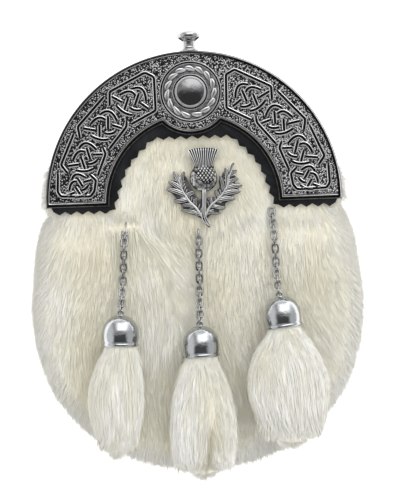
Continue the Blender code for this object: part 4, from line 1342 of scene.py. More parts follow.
DROPS = (
    Drop("left", (-40.9, -60.4), -2.0,
         ((-80.6, -51.5, -32, 8.2), (-93.2, -58.2, -29.8, 9.6), (-106, -60.2, -29.4, 10),
          (-117, -58.2, -31, 9), (-125, -53, -36.4, 6.2)), (-45.6, -131),
         ((-37, -13.5, 33.6), (-37.6, -18.4, 37), (-38.2, -25, 40),
          (-39.3, -42, 40.2), (-40.1, -50.4, 43.4), (-40.7, -56.7, 48.6)), 1, ((150, 12, 0.16, 0.55),)),
    Drop("centre", (0.6, -67.5), 2.0,
         ((-88, -9.8, 10.8, 8.2), (-99.5, -14.2, 15.6, 9.6), (-113, -16.9, 18.4, 10.2),
          (-126, -17.4, 18.8, 9.6), (-137.5, -12.4, 13.4, 6.8)), (0.2, -143.5),
         ((1.6, -19, 38.6), (1.6, -24, 39.6), (1.4, -31, 40), (1.2, -48, 40.2),
          (0.9, -57.6, 43.4), (0.7, -63.8, 48.6)), 2, ((72, 11, 0.75, 0.5), (150, 12, 0.12, 0.5))),
    Drop("right", (43.2, -53.5), 7.0,
         ((-75, 34.4, 57, 8.4), (-84, 27.6, 63.4, 9.8), (-96, 24.2, 68, 10.4),
          (-108, 24.8, 67.8, 9.8), (-119, 34.6, 61.4, 7)), (47.4, -128.6),
         ((41.2, -8.4, 33.7), (41.4, -12.6, 35), (41.8, -18.4, 38.4), (42, -24, 40),
          (42.3, -36, 40.4), (42.5, -43.8, 43.4), (42.8, -49.8, 48.6)), 3,
         ((130, 12, 0.14, 0.42),), sweep_turn=-0.6),
)


# ---------- cantle
@dataclass
class Cantle:
    """The half-round casting with its border, pebbled ground, frames, knots and boss."""

    outer_r: float = 79.0
    inner_r: float = 45.3
    inner_y: float = -2.1
    lobe_r: float = 22.9
    boss_y: float = 57.0
    leg_y: float = -2.5
    under: float = 34.8
    ground: float = 36.95
    knot_r: float = 62.3
    frame_corner: float = 0.9
    dome_r: float = 7.05
    dome_curve: float = 21.0
    # the wreath: number of leaves, and the gap in degrees that they leave at the foot
    leaves: int = 15
    wreath_gap: float = 28.0
    # rows of inset, height and level at the inner edge, then inset, height and level at the left
    # and at the right of the outer edge; the levels paint the bead's reflections as bright lines and dark
    # bands, with a painted highlight on the right's outer edge
    border: Rows = (
        (0, 34.8, 0, 0, 34.8, 0, 0), (0, 36.1, 0.1, 0, 36.1, 0, 0.05),
        (0.12, 36.2, 0.3, 0.3, 36.6, 0, 0.05), (0.42, 36.25, 0.3, 0.38, 36.85, 0, 0.6),
        (0.6, 36.2, 0, 0.75, 37.4, 0, 0.6), (1.5, 36.3, 0, 0.88, 37.5, 0, 0),
        (1.75, 36.75, 0.4, 1.35, 37.6, 0, 0), (2.05, 37.55, 0.9, 1.45, 37.6, 0.95, 0),
        (2.2, 37.7, 0.85, 1.7, 37.5, 0.95, 0), (2.3, 37.68, 0.1, 1.8, 37.35, 0.9, 0),
        (2.68, 37.66, 0.1, 1.85, 37.2, 0.1, 0), (2.76, 37.64, 0.85, 1.9, 37, 0, 0),
        (3, 37.25, 0.7, 2, 36.85, 0, 0), (3.2, 36.7, 0, 2.2, 36.7, 0, 0), (3.2, 34.8, 0, 2.2, 34.8, 0, 0))
    # rows of across and up, and level, of a relief bar: black at the foot, bright shoulders as painted
    # highlights and a dark flat top as painted reflection
    bar: Rows = (
        (-1.36, -0.35, 0), (-1.28, 0, 0.1), (-1.2, 0.22, 0.9), (-1.04, 0.42, 1), (-0.84, 0.58, 1),
        (-0.7, 0.66, 1), (-0.62, 0.68, 0.02), (0, 0.6, 0), (0.62, 0.68, 0.02), (0.7, 0.66, 1),
        (0.84, 0.58, 1), (1.04, 0.42, 1), (1.2, 0.22, 0.9), (1.28, 0, 0.1), (1.36, -0.35, 0))
    # plan points of the panel frames on the right, mirrored on the left
    frames: tuple[Rows, ...] = (
        ((43.3, 51.1), (43.1, 58.5), (23.9, 68.1), (19.2, 65.6), (18.9, 47.7), (32.2, 40.8)),
        ((45.9, 56.3), (60.7, 40.4), (59.7, 34.3)),
        ((34.4, 43.1), (34.8, 39.5), (44.7, 27.6)),
        ((62.8, 37.2), (70.3, 20.5), (66.8, 15.7)),
        ((47.8, 29.3), (46.3, 25.5), (50.9, 14.2)),
        ((72.1, 16.6), (72.6, 6.1), (70.8, 3.6), (55.2, 3.1), (53, 5.7), (52, 11.7), (55.4, 14.9)))
    # angle from the vertical and scale of each knot
    knots: Rows = ((30.3, 1), (49, 1), (67.2, 0.95), (81.6, 0.76))
    # strands as three points of (along the arch, outwards)
    strands: Rows = (
        (-6.1, -4.6, -7.7, 1.9, -3.3, 4.8), (-5.3, 1, -2.5, -1.2, 0.2, -3.4),
        (-2.8, 1.1, -1.2, 4.6, 4.2, 5.6), (1.1, 1.8, 3.6, -0.3, 6.2, -2.4),
        (4.9, 1.5, 6.6, 4.6, 8.2, 7.4), (-5, -8.8, -4, -6.2, -2.9, -3.6),
        (-1.6, -7.3, 1.3, -5.7, 3, -2.9), (3.8, -7.1, 7.1, -3.4, 8.6, 2.1))

    def inner_edge(self, inset: float, per_side: int = 110, lobe: int = 70) -> Array:
        """The inner outline at an inset: two arcs of the arch and the lobe's arc, from left to right."""
        r, lobe_r, leg = self.inner_r + inset, self.lobe_r - inset, self.leg_y + inset
        gap = self.boss_y - self.inner_y
        cusp_y = self.inner_y + (r ** 2 - lobe_r ** 2 + gap ** 2) / (2 * gap)
        cusp_x = np.sqrt(r ** 2 - (cusp_y - self.inner_y) ** 2)
        foot = np.degrees(np.arctan2(leg - self.inner_y, -np.sqrt(r ** 2 - (leg - self.inner_y) ** 2))) % 360
        left = polar(r, np.linspace(foot, np.degrees(np.arctan2(cusp_y - self.inner_y, -cusp_x)), per_side),
                     0.0, self.inner_y)
        b = np.degrees(np.arctan2(cusp_y - self.boss_y, cusp_x))
        bulge = polar(lobe_r, np.linspace(-180.0 - b, b, lobe)[1:-1], 0.0, self.boss_y)
        return np.vstack([left, bulge, (left * [-1, 1])[::-1]])

    def outer_edge(self, inset: float, leg_inset: float, count: int = 300) -> Array:
        """The outer arc at an inset, from right to left."""
        r, leg = self.outer_r - inset, self.leg_y + leg_inset
        start = np.degrees(np.arcsin(leg / r))
        return polar(r, np.linspace(start, 180.0 - start, count))

    def edging(self) -> None:
        """The border: level lines from the flange up over the bead and down to the ground."""
        rings, wear_and_light = [], []
        for inset, z_in, inner_wear_and_light, bevel, z_out, left_wear_and_light, right_wear_and_light in self.border:
            inner, outer = self.inner_edge(inset), self.outer_edge(bevel, inset)
            # the outer edge's level blends from left to right; the right's bright outer edge is a painted
            # highlight
            outer_wear_and_light = left_wear_and_light + (right_wear_and_light - left_wear_and_light) * smoothstep((outer[:, 0] + 25.0) / 60.0)
            legs = np.linspace(0, 1, 26)[1:-1, None]
            left = outer[-1] + (inner[0] - outer[-1]) * legs
            right = inner[-1] + (outer[0] - inner[-1]) * legs
            plan = np.vstack([outer, left, inner, right])
            z = np.concatenate([np.full(len(outer), z_out), z_in + (z_out - z_in) * (1 - legs[:, 0]),
                                np.full(len(inner), z_in), z_in + (z_out - z_in) * legs[:, 0]])
            rings.append(np.column_stack([plan, z]))
            wear_and_light.append(np.concatenate([outer_wear_and_light, np.full(len(plan) - len(outer), inner_wear_and_light)]))
        n, k = len(rings), len(rings[0])
        stock = Stock()
        stock.add(np.concatenate(rings), [grid_faces(n, k, wrap_rows=True, wrap_cols=True)],
                  wear_and_light=np.concatenate(wear_and_light))
        a = np.linspace(4.0, 176.0, 240)
        path = lifted(polar(78.2, a), 30.6)
        wall = np.array([(-0.6, -4.3), (-0.3, -4.6), (0.3, -4.6), (0.6, -4.3), (0.6, 4.6), (-0.6, 4.6)])
        stock.add(*sweep(path, wall), wear_and_light=0.5)
        stock.piece("cantle_border", PEWTER, crease=60.0)

    def pebble_grid(self, rows: int = 64, cols: int = 430) -> Array:
        """Plan points of the ground, row by row from its inner edge to its outer edge.

        The outline's polar radius at each turn is found by looking it up in the inner edge.
        """
        inner = self.inner_edge(3.0)[::-1]
        r_of = np.hypot(inner[:, 0], inner[:, 1])
        t_of = bearing(inner)
        out_r, leg = self.outer_r - 1.9, self.leg_y + 3.0
        share = np.linspace(0.0, 1.0, cols)[None]
        across = np.linspace(0.0, 1.0, rows)[:, None]
        radius = np.full((rows, cols), 62.0)
        for _ in range(4):
            start = np.degrees(np.arcsin(leg / radius))
            turn = start + (180.0 - 2 * start) * share
            edge = np.interp(turn, t_of, r_of)
            radius = edge + (out_r - edge) * across
        return polar(radius, turn)

    def pebbles(self) -> None:
        """The ground between the border beads, raised in small rounded pebbles."""
        plan = self.pebble_grid()
        rows, cols = plan.shape[:2]
        x, y = plan[..., 0], plan[..., 1]
        warp_x = x + 0.35 * waver(x, y, 2.1, 71)
        warp_y = y + 0.35 * waver(x, y, 2.1, 72)
        stud = 1.0 - smoothstep(nearest_stud(warp_x, warp_y, 1.2, 70) / 0.56)
        boss = smoothstep((17.0 - np.hypot(x, y - self.boss_y)) / 0.5)
        stud = stud * (1 - 0.7 * boss) + 0.2 * boss
        z = self.ground - 0.14 + 0.24 * stud + 0.04 * waver(x, y, 6.0, 73)
        top = np.stack([x, y, z], -1).reshape(-1, 3)
        edge = rim_of(rows, cols)
        low = top[edge] * [1, 1, 0] + [0, 0, self.under + 0.1]
        base, n = len(top), len(edge)
        foot = base + np.arange(n)
        wall = np.stack([np.roll(edge, -1), edge, foot, np.roll(foot, -1)], -1)
        half = cols - 1 + rows - 1
        across = np.arange(1, cols - 2)
        lower = base + np.stack([across + 1, across, half + cols - 1 - across, half + cols - 2 - across], -1)
        last = base + np.concatenate([[cols - 1, cols - 2, half + 1], np.arange(half, cols - 1, -1)])
        first = base + np.concatenate([[1, 0], np.arange(n - 1, half + cols - 3, -1)])
        # studs brighter as wear, and the ground brighter towards the right as painted light
        worn_and_lit = stud + 0.4 * x / self.outer_r
        stock = Stock()
        stock.add(np.vstack([top, low]), [grid_faces(rows, cols), wall, lower, last[None], first[None]],
                  wear_and_light=np.append(worn_and_lit.ravel(), np.zeros(n)), plain=np.append(boss.ravel(), np.zeros(n)))
        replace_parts(stock.piece("cantle_ground", GROUND), "cantle")

    def bars(self, paths: list[Array], name: str) -> None:
        """Relief bars along plan paths, tapered at their ends."""
        rows = np.array(self.bar)
        stock = Stock()
        for path in paths:
            n = len(path)
            at = np.linspace(0.0, 1.0, n)
            ease = smoothstep(np.minimum(at, 1 - at) * path_length(path) / 0.7 + 0.15)
            taper = np.stack([0.6 + 0.4 * ease, 0.5 + 0.5 * ease], -1)
            points, faces = sweep(lifted(path, self.ground), rows[None, :, :2] * taper[:, None])
            # the bar's levels: painted highlights on its shoulders, painted reflection on its top
            stock.add(points, faces, wear_and_light=np.append(np.tile(rows[:, 2], n), [0.2, 0.2]))
        stock.piece(name, PEWTER)

    def knot_paths(self) -> list[Array]:
        """Each strand of each knot, a parabola through its three points in arch coordinates."""
        t = np.linspace(0.0, 1.0, 22)[:, None]
        weights = np.hstack([(1 - t) * (1 - 2 * t), 4 * t * (1 - t), t * (2 * t - 1)])
        paths = []
        for side in (1, -1):
            for angle, scale in self.knots:
                a = np.radians(angle)
                rad, tan = np.array([np.sin(a), np.cos(a)]), np.array([np.cos(a), -np.sin(a)])
                for row in self.strands:
                    local = weights @ np.array(row).reshape(3, 2) * scale
                    spot = rad * (self.knot_r + local[:, 1:]) + tan * local[:, :1]
                    paths.append(spot * [side, 1])
        return paths

    def frame_paths(self) -> list[Array]:
        """The panel frames of both sides, their corners a little rounded."""
        paths = []
        for frame in self.frames:
            pts = np.array(frame)
            rows = [pts[0]]
            for a, b, c in zip(pts, pts[1:], pts[2:]):
                back, ahead, cut = unit(a - b), unit(c - b), self.frame_corner
                rows += [b + back * cut, b + (back + ahead) * cut * 0.25, b + ahead * cut]
            path = np.array([*rows, pts[-1]])
            dense = [path[0]]
            for p, q in zip(path, path[1:]):
                steps = max(1, int(np.linalg.norm(q - p) / 1.0))
                dense += [p + (q - p) * k / steps for k in range(1, steps + 1)]
            for side in (1, -1):
                paths.append(np.array(dense) * [side, 1])
        return paths

    def boss(self) -> None:
        """The bezel, the plain rings and the wreath of leaves round the dome."""
        stock = Stock()
        a = around(120)
        rows = np.array(self.bar)
        # radius, and its share of a bar's width and height
        for radius, wide, high in ((7.6, 0.5, 1.4), (8.85, 0.66, 0.8), (15.7, 0.72, 0.85)):
            path = lifted(polar(radius, a, 0.0, self.boss_y), self.ground)
            # the rings take the bar's levels, painted highlights and painted reflection included; the bezel
            # is bright all over
            worn_and_lit = rows[:, 2] if radius > 8.0 else np.maximum(rows[:, 2], 0.8)
            stock.add(*sweep(path, rows[:, :2] * [wide, high], closed=True), wear_and_light=np.tile(worn_and_lit, len(a)))
        leaf, worn_and_lit = self.leaf(15, 13)
        for k in range(self.leaves):
            turn = -90.0 - self.wreath_gap / 2 - (360.0 - self.wreath_gap) / (self.leaves - 1) * k
            spot = [*polar(12.1, turn, 0.0, self.boss_y), self.ground + 0.02]
            stock.add(place(leaf, spot, (0.0, 0.0, turn - 90.0 - 16.0)), closed_sheet(15, 13), wear_and_light=worn_and_lit)
        stock.piece("cantle_boss", SATIN)

    def leaf(self, rows: int, cols: int) -> tuple[Array, Array]:
        """A leaf along +X: a bowed lens in plan, rounded in section, with a cut down its middle.

        Args:
            rows: Points along it.
            cols: Points across it.

        Returns:
            The points of its upper and lower sheets, and the level of each for its colour.
        """
        along, across = np.meshgrid(np.linspace(0, 1, rows), np.linspace(-1, 1, cols), indexing="ij")
        width = 1.8 * np.sin(np.pi * along ** 0.8) ** 0.75
        off = np.abs(across)
        crown = np.sqrt(np.maximum(1 - (off / 0.84) ** 2.5, 0.0)) * np.sin(np.pi * along) ** 0.4
        z = 0.05 + 0.75 * crown * (1 - 0.25 * along) - 0.18 * np.exp(-(across / 0.2) ** 2) * crown
        y = across * width + 0.5 * np.sin(np.pi * along)
        top = np.stack([(along - 0.5) * 6.3, y, z], -1).reshape(-1, 3)
        low = top * [1, 1, 0] + [0, 0, -0.5]
        worn_and_lit = np.interp(off, [0.0, 0.17, 0.34, 0.5, 0.67, 0.83], [0.35, 0.65, 1.0, 1.0, 0.85, 0.0])
        worn_and_lit = worn_and_lit * smoothstep(np.minimum(along, 1 - along) / 0.09)
        return np.vstack([top, low]), np.append(worn_and_lit.ravel(), np.zeros(len(low)))

    def dome(self) -> None:
        """The polished dome in the bezel."""
        radius = self.dome_r * np.linspace(1.0, 0.0, 16)
        drop = np.sqrt(self.dome_curve ** 2 - self.dome_r ** 2)
        cap = 1.3 + np.sqrt(self.dome_curve ** 2 - radius ** 2) - drop
        profile = np.vstack([[(0.0, 0.0), (0.0, self.dome_r)], np.stack([cap, radius], -1)])
        stock = Stock()
        points, faces = turned(profile, 64)
        stock.add(points + [0, self.boss_y, 37.15], faces)
        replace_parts(stock.piece("boss_dome", DOME, crease=60.0), "centre_dome")

    def knob(self) -> None:
        """The turned knob on the cantle's rim, its axis along +Y."""
        rows = curve(np.array([(0, 4.9), (0.9, 4.75), (1.5, 4), (2.1, 3.55), (3.8, 3.45), (5.2, 3.6),
                               (6, 4.6), (6.8, 5.8), (7.7, 6.35), (8.8, 6.35), (9.8, 5.8), (10.6, 4.6),
                               (11.2, 3)]), 4)
        profile = np.vstack([[(0.0, 0.0)], rows, [(11.5, 0.0)]])
        points, faces = turned(profile, 56)
        stock = Stock()
        stock.add(place(points, (0.0, 79.3, 31.0), (-90.0, 0.0, 0.0)), faces)
        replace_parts(stock.piece("top_knob", NICKEL, crease=60.0), "cantle_knob")

    def build(self) -> None:
        """Make the casting, the dome and the knob."""
        self.pebbles()
        self.edging()
        self.bars(self.frame_paths(), "cantle_frames")
        self.bars(self.knot_paths(), "cantle_knots")
        self.boss()
        self.dome()
        self.knob()


# ---------- badge
@dataclass
class Badge:
    """The cast thistle: bulb, tuft, stem, and two leaves of pointed blades."""

    spot: Pair = (5.4, 10.8)
    low: float = 36.95
    backing_top: float = 37.75
    top: float = 38.3
    bulb_r: float = 7.3
    bulb_rise: float = 3.0
    scale_pitch: float = 2.5
    vein_reach: float = 3.4
    bristles: int = 13
    # plan points from the middle of the bulb: ribs of the two leaves
    ribs: tuple[Rows, ...] = (
        ((-0.2, -21.6), (2.7, -15.6), (7.2, -11.6), (10.4, -8), (13, -3.3), (13.8, 0.7), (16.4, 6.1)),
        ((-0.9, -21.6), (-4.1, -16.3), (-7.4, -12.8), (-9.7, -9.4), (-11.9, -5.2), (-12.8, -1.1),
         (-12.4, 1.6)))
    # rows of base x, y, tip x, y, half width
    blades: Rows = (
        (1.9, -17.6, 8.2, -19.2, 1.1), (4.7, -15, 11.7, -16.3, 1.4), (7.5, -12.1, 16.9, -11.6, 1.7),
        (9.5, -9.2, 19.8, -7.7, 1.8), (11.6, -6.2, 20.8, -4.6, 1.7), (12.9, -2.9, 18.9, -0.8, 1.4),
        (13.8, 1, 18.1, 3.5, 1), (15, 4, 16.5, 7.8, 0.8), (12.4, -4.6, 11.6, 5.1, 1.5),
        (10.3, -6.6, 8.6, 0.9, 1.3), (7.8, -11, 5.9, -6.6, 1.3), (4.2, -14.3, 1.9, -10, 1.2),
        (-3, -19.2, -12.8, -16.8, 1.4), (-6, -14.4, -12.6, -14.2, 1.3), (-9, -11, -16.8, -11.8, 1.6),
        (-10.6, -8.6, -20.2, -5.3, 1.8), (-12, -5.8, -19.1, -0.9, 1.7), (-12.6, -3.4, -16.2, 4.1, 1.5),
        (-12, -4.6, -10.2, 4, 1.4), (-10, -9.4, -4.6, -7.3, 1.5), (-5.8, -14, -3.3, -10.2, 1.2))
    stem: Rows = (
        (0.1, -5.8), (-0.1, -10), (-0.3, -15), (-0.5, -19.6), (0.2, -22.6), (1.7, -24.8), (2.9, -26.2))
    tuft: Rows = (
        (-4.8, 5), (-4.7, 7), (-7.9, 15), (-4, 15.9), (0.4, 16.2), (5, 15.9), (8.7, 14.8), (5.4, 7),
        (5.6, 5))
    leaf_right: Rows = (
        (0.6, -22), (3.4, -19.6), (7.6, -18.8), (7.6, -17.4), (11, -15.4), (11.2, -13.8), (15, -11.4),
        (14.8, -9.6), (18.4, -6), (16.6, -3), (17.6, -0.2), (15.8, 1.8), (15.6, 5.6), (13.4, 2.4),
        (11.6, 3.8), (10.2, 2.2), (9.4, 0), (8, -1.8), (8.4, -5.2), (6.2, -7.4), (6, -9.8), (3.2, -10.8),
        (1.2, -10.6))
    leaf_left: Rows = (
        (-1, -10.6), (-3.4, -12), (-4.2, -9), (-5.4, -7.4), (-7.6, -3), (-8.7, -0.2), (-10.4, 2.6),
        (-12.2, 0.6), (-15.8, 2.6), (-15.4, -0.6), (-17.6, -1.4), (-16.4, -4.4), (-18.2, -6.2),
        (-14.6, -10.8), (-15, -12.6), (-11.8, -14), (-11.4, -16.4), (-6.8, -17.8), (-3.4, -20.8),
        (-0.6, -22.4))
    stock: Stock = field(default_factory=Stock)

    def add(self, points: Array, faces: list[Array], wear_and_light: Array) -> None:
        """Take in a shell given about the middle of the bulb."""
        self.stock.add(points + [*self.spot, 0.0], faces, wear_and_light=wear_and_light)

    def bar(self, path: Array, half: Array, rise: Array, base: float, worn_and_lit: float = 1.0) -> None:
        """Take in a rounded bar along a plan path, no part of it below the cantle's ground."""
        points, faces, wear_and_light = raised_bar(path, half, rise, base)
        points[:, 2] = np.maximum(points[:, 2], self.low)
        self.add(points, faces, wear_and_light * worn_and_lit)

    def blade(self, base: Array, tip: Array, half: float) -> tuple[Array, Array]:
        """One pointed blade: a lens in plan, a roof in section, its spine bowed up and over.

        Returns:
            The points of its upper and lower sheets, and the level of each for its colour.
        """
        along, across = np.meshgrid(np.linspace(0.0, 1.0, 13), np.linspace(-1.0, 1.0, 17), indexing="ij")
        way = tip - base
        length = float(np.hypot(*way))
        side = np.array([-way[1], way[0]]) / length
        width = 1.35 * half * (0.62 + 0.9 * along) * np.maximum(1.0 - along, 0.0) ** 0.62
        bow = 0.05 * length * np.sin(np.pi * along) * np.sign(way[0] * way[1] + 1e-6)
        plan = base + way * along[..., None] + side * (across * width + bow)[..., None]
        ridge = 1.0 - np.abs(across) ** 1.4
        rise = (0.35 + 0.95 * np.sin(np.pi * (0.15 + 0.72 * along))) * (0.25 + 0.75 * ridge)
        groove = 0.2 * (1 - np.cos(across * 3.5 * np.pi)) * np.sin(np.pi * along) * (1 - across ** 2)
        z = self.backing_top - 0.1 + rise - groove - 0.55 * along ** 2
        wear_and_light = np.clip(0.5 + 0.8 * np.cos(across * 3.5 * np.pi) - 0.9 * np.abs(across) ** 4, 0.0, 1.0)
        top = np.concatenate([plan, z[..., None]], -1).reshape(-1, 3)
        low = top * [1, 1, 0] + [0, 0, self.low + 0.05]
        return np.vstack([top, low]), np.concatenate([wear_and_light.ravel(), np.zeros(len(top))])

    def bulb(self) -> None:
        """The bulb: a low dome cut in diamond scales above a smooth crescent."""
        rings, sides = 34, 120
        share = np.linspace(0.0, 1.0, rings + 1)[1:, None]
        a = np.linspace(0, 2 * np.pi, sides, endpoint=False)[None]
        x, y = share * self.bulb_r * np.cos(a), share * self.bulb_r * np.sin(a)
        z = self.low + 0.2 + self.bulb_rise * np.sqrt(np.maximum(1.0 - (share * 0.985) ** 2, 0.0)) + 0 * a
        lean = 0.3 * waver(x, y, 2.6, 83)
        u = np.abs(np.mod((x * 1.3 + y) / self.scale_pitch + lean, 1.0) - 0.5) * 2
        v = np.abs(np.mod((x * 1.3 - y) / self.scale_pitch + lean, 1.0) - 0.5) * 2
        scale = 1.0 - np.maximum(u, v)
        rim = np.hypot((x - 1.3) / 5.0, (y - 2.4) / 5.2) + 0.12 * waver(x, y, 1.6, 84)
        cup = smoothstep((rim - 0.9) / 0.12)
        groove = np.exp(-((rim - 0.94) / 0.06) ** 2) * smoothstep((2.0 - y) / 2.0)
        rough = waver(x, y, 0.75, 82)
        scale = np.clip(scale * (1.15 + 0.4 * waver(x, y, 2.2, 81)), 0, 1)
        z = z + 1.0 * scale * (1 - cup) + 0.16 * rough * cup - 0.2 * groove
        wear_and_light = np.clip(1.7 * scale - 0.12, 0, 1) * (1 - cup) + (0.5 + 0.4 * rough) * cup
        wear_and_light = np.clip(wear_and_light - 0.4 * groove, 0, 1)
        wear_and_light = np.where(share > 0.96, 0.1, wear_and_light)
        points = np.vstack([np.stack([x, y, z], -1).reshape(-1, 3),
                            np.stack([x[-1], y[-1], np.full(sides, self.low)], -1),
                            [[0, 0, z[0].mean()], [0, 0, self.low]]])
        wear_and_light = np.concatenate([wear_and_light.ravel(), np.zeros(sides), [wear_and_light[0].mean(), 0.0]])
        self.add(points, capped(rings + 1, sides), wear_and_light)

    def leaves(self) -> None:
        """The backing of the leaves and of the tuft, and the leaves' blades and ribs."""
        for outline in (self.leaf_right, self.leaf_left, self.tuft):
            edge = resample(np.array([*outline, outline[0]]), 120)[:-1]
            points, faces = slab(edge, self.low, self.backing_top, 0.2)
            self.add(points, faces, np.full(len(points), 0.02 if outline is self.tuft else 0.24))
        for row in self.blades:
            points, wear_and_light = self.blade(np.array(row[:2]), np.array(row[2:4]), row[4])
            self.add(points, closed_sheet(13, 17), wear_and_light)
        for path in self.ribs:
            line = curve(np.array(path), 5)
            taper = np.linspace(1.0, 0.45, len(line))
            self.bar(line, 0.75 * taper, 0.95 * taper, self.backing_top + 0.35)

    def stalk(self) -> None:
        """The stem: a dark low bar with three bright strands that wind a little."""
        line = curve(np.array(self.stem), 5)
        at = np.linspace(0.0, 1.0, len(line))
        spread = np.interp(at, [0.0, 0.25, 0.7, 1.0], [0.5, 1.0, 1.05, 0.3])
        # place across the stem, half width, rise and wear
        for across, half, rise, worn_and_lit in ((0.0, 1.5, 0.4, 0.05), (-0.95, 0.42, 1.0, 1.0),
                                         (0.0, 0.42, 1.1, 1.0), (0.95, 0.42, 1.0, 1.0)):
            twist = 0.25 * np.sin(9.0 * at + across)
            aside = np.outer(across * spread + twist * np.sign(abs(across)), [1.0, 0.0])
            self.bar(line + aside, half * np.interp(at, [0, 1], [1.0, 0.6]), rise, self.top, worn_and_lit)

    def veins(self) -> None:
        """Fine veins that leave each rib to both sides."""
        for rib in self.ribs:
            line = resample(curve(np.array(rib), 5), 16)[1:-2]
            for spot, way in zip(line, unit(np.gradient(line, axis=0))):
                for side in (1, -1):
                    lean = unit(way * 0.75 + side * np.array([-way[1], way[0]]))
                    vein = spot + lean * np.linspace(0.5, self.vein_reach, 6)[:, None]
                    self.bar(vein, 0.24, 0.3, self.backing_top - 0.02)

    def flower(self) -> None:
        """The tuft's bristles, spread like a fan above the bulb."""
        t = np.linspace(0.0, 1.0, 12)
        rise = 0.6 + 0.5 * np.sin(np.pi * (0.2 + 0.6 * t))
        for share in np.linspace(-1.0, 1.0, self.bristles):
            line = np.stack([0.4 + (4.4 + 3.7 * t ** 1.3) * share, 5.6 + (10.6 - 1.1 * share ** 2) * t], -1)
            self.bar(line, 0.24 + 0.17 * t, rise, self.top + 0.5)

    def build(self) -> None:
        """Make the badge as one casting."""
        self.leaves()
        self.stalk()
        self.veins()
        self.flower()
        self.bulb()
        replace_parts(self.stock.piece("thistle", SILVER, crease=60.0), "thistle_badge")


# ---------- leather
@dataclass
class LeatherBody:
    """Back, front, gusset, the pinked trim and the strap loops."""

    seam_inset: float = 1.6
    wall_z: float = 15.0
    stitches: int = 150
    # rows of inset and height of the back: the stitching groove, then the eased edge
    back_rows: Rows = (
        (8, 0), (4.5, 0), (4.3, 0.42), (3.5, 0.42), (3.3, 0), (0.5, 0), (0.15, 0.12), (0, 0.5), (0, 1.5),
        (0.15, 1.88), (0.5, 2))
    # rows of angle above the horizontal and radius of the gusset at its neck
    neck: Rows = ((46, 64), (5, 64), (-2, 66), (-8, 71), (-14, 77.4))
    # section of the gusset: across, up
    wall: Rows = (
        (-0.35, -12.7), (0, -12.35), (0, -8), (-0.2, 0), (0, 8), (0, 12.35), (-0.35, 12.7), (-1.65, 12.7),
        (-2, 12.35), (-2, 8), (-2.2, 0), (-2, -8), (-2, -12.35), (-1.65, -12.7))
    trim_z: Pair = (32.7, 34.5)
    trim_r: float = 76.8
    pink_step: float = 2.95
    pink_depth: float = 0.9
    loop_turn: float = 14.0
    loop_z: float = 14.0
    # half of the loop's wire: distance out and along the gusset
    loop_line: Rows = ((65.1, -6.4), (68.6, -6.4), (71.8, -5), (73.6, -2.4))

    def outline(self) -> Array:
        """Plan outline of the panels."""
        turns = around(240)
        return polar(PLAN.leather(turns), turns)

    def panels(self) -> None:
        """The back with the groove for its stitches, and the front."""
        outline = self.outline()
        stock = Stock()
        stock.add(*layered(outline, np.array(self.back_rows)))
        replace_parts(stock.piece("back_leather", BLACK, crease=50.0), "back_panel")
        stock = Stock()
        stock.add(*slab(outline, 28.0, 30.0, 0.4))
        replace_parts(stock.piece("front_leather", BLACK, crease=50.0), "front_panel")

    def stitching(self) -> None:
        """The stitches in the back's groove: each a short arc of thread that dips in at its ends."""
        inner = self.outline()
        inner = inner - unit(inner) * 3.9
        walk = resample(np.vstack([inner, inner[:1]]), self.stitches * 3 + 1)[:-1]
        b = np.radians(around(6))
        section = np.stack([0.3 * np.cos(b), 0.22 * np.sin(b)], -1)
        t = np.linspace(0.0, 1.0, 5)[:, None]
        stock = Stock()
        for row in walk.reshape(self.stitches, 3, 2):
            line = np.hstack([row[0] + (row[2] - row[0]) * 1.15 * t, 0.28 + 0.3 * (2 * t - 1) ** 4])
            stock.add(*sweep(line, section))
        stock.piece("back_stitches", STITCH)

    def gusset(self) -> None:
        """The strip round the sides and the foot, open at the mouth."""
        neck = np.array(self.neck)[::-1]
        half = np.append([46.0, 39.0, 32.0, 25.0, 18.5, 11.0, 5.0, -2.0, -8.0, -14.0],
                         np.linspace(-17.0, -90.0, 36))
        radius = np.where(half > -14.0, np.interp(half, neck[:, 0], neck[:, 1]),
                          np.interp(-half, PLAN.rows[:, 0], PLAN.rows[:, 1]) - self.seam_inset)
        right = polar(radius, half)
        path = np.vstack([right, (right * [-1, 1])[-2::-1]])
        stock = Stock()
        stock.add(*sweep(lifted(path, self.wall_z), np.array(self.wall)))
        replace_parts(stock.piece("gusset_leather", BLACK, crease=50.0), "gusset")

    def trim(self) -> None:
        """The lining with its pinked edge: a zigzag of one step each way across the line."""
        inner = polar(PLAN.trim_rows[:, 1], PLAN.trim_rows[:, 0])
        half = np.vstack([[(75.4, -5.5), (43.4, -5.5)], inner, [(10.0, 32.9), (0.0, 32.9)]])
        count = round(path_length(half) / self.pink_step) // 2 * 2 + 1
        walk = resample(half, count)
        whole = np.concatenate([walk, (walk * [-1, 1])[-2::-1]])
        ahead = unit(np.gradient(whole, axis=0))
        side = np.column_stack([-ahead[:, 1], ahead[:, 0]])
        sign = np.where(np.arange(len(whole)) % 2 == 0, -1.0, 1.0)
        edge = whole + side * (sign * self.pink_depth)[:, None]
        fine = resample(edge, (len(edge) - 1) * 4 + 1)
        corner = np.arange(len(edge)) * 4
        fine[corner] = edge
        outer = polar(self.trim_r, np.linspace(181.5, -1.5, 180))
        stock = Stock()
        stock.add(*slab(np.vstack([fine, outer]), *self.trim_z, 0.25))
        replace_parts(stock.piece("pinked_leather", BLACK, crease=45.0), "pinked_trim")

    def loop(self, side: str) -> None:
        """A D of wire on a riveted plate, behind the cantle."""
        turn = self.loop_turn if side == "right" else 180.0 - self.loop_turn
        a = np.radians(np.linspace(0, 90, 6))
        corner = 1.4 * np.stack([np.cos(a), np.sin(a)], -1)
        flip = np.array([(1, 1), (-1, 1), (-1, -1), (1, -1)])
        shape = np.vstack([(corner[::step] + [7.1, 2.2]) * f for f, step in zip(flip, (1, -1, 1, -1))])
        stock = Stock()
        points, faces = slab(shape, -0.6, 0.6, 0.25)
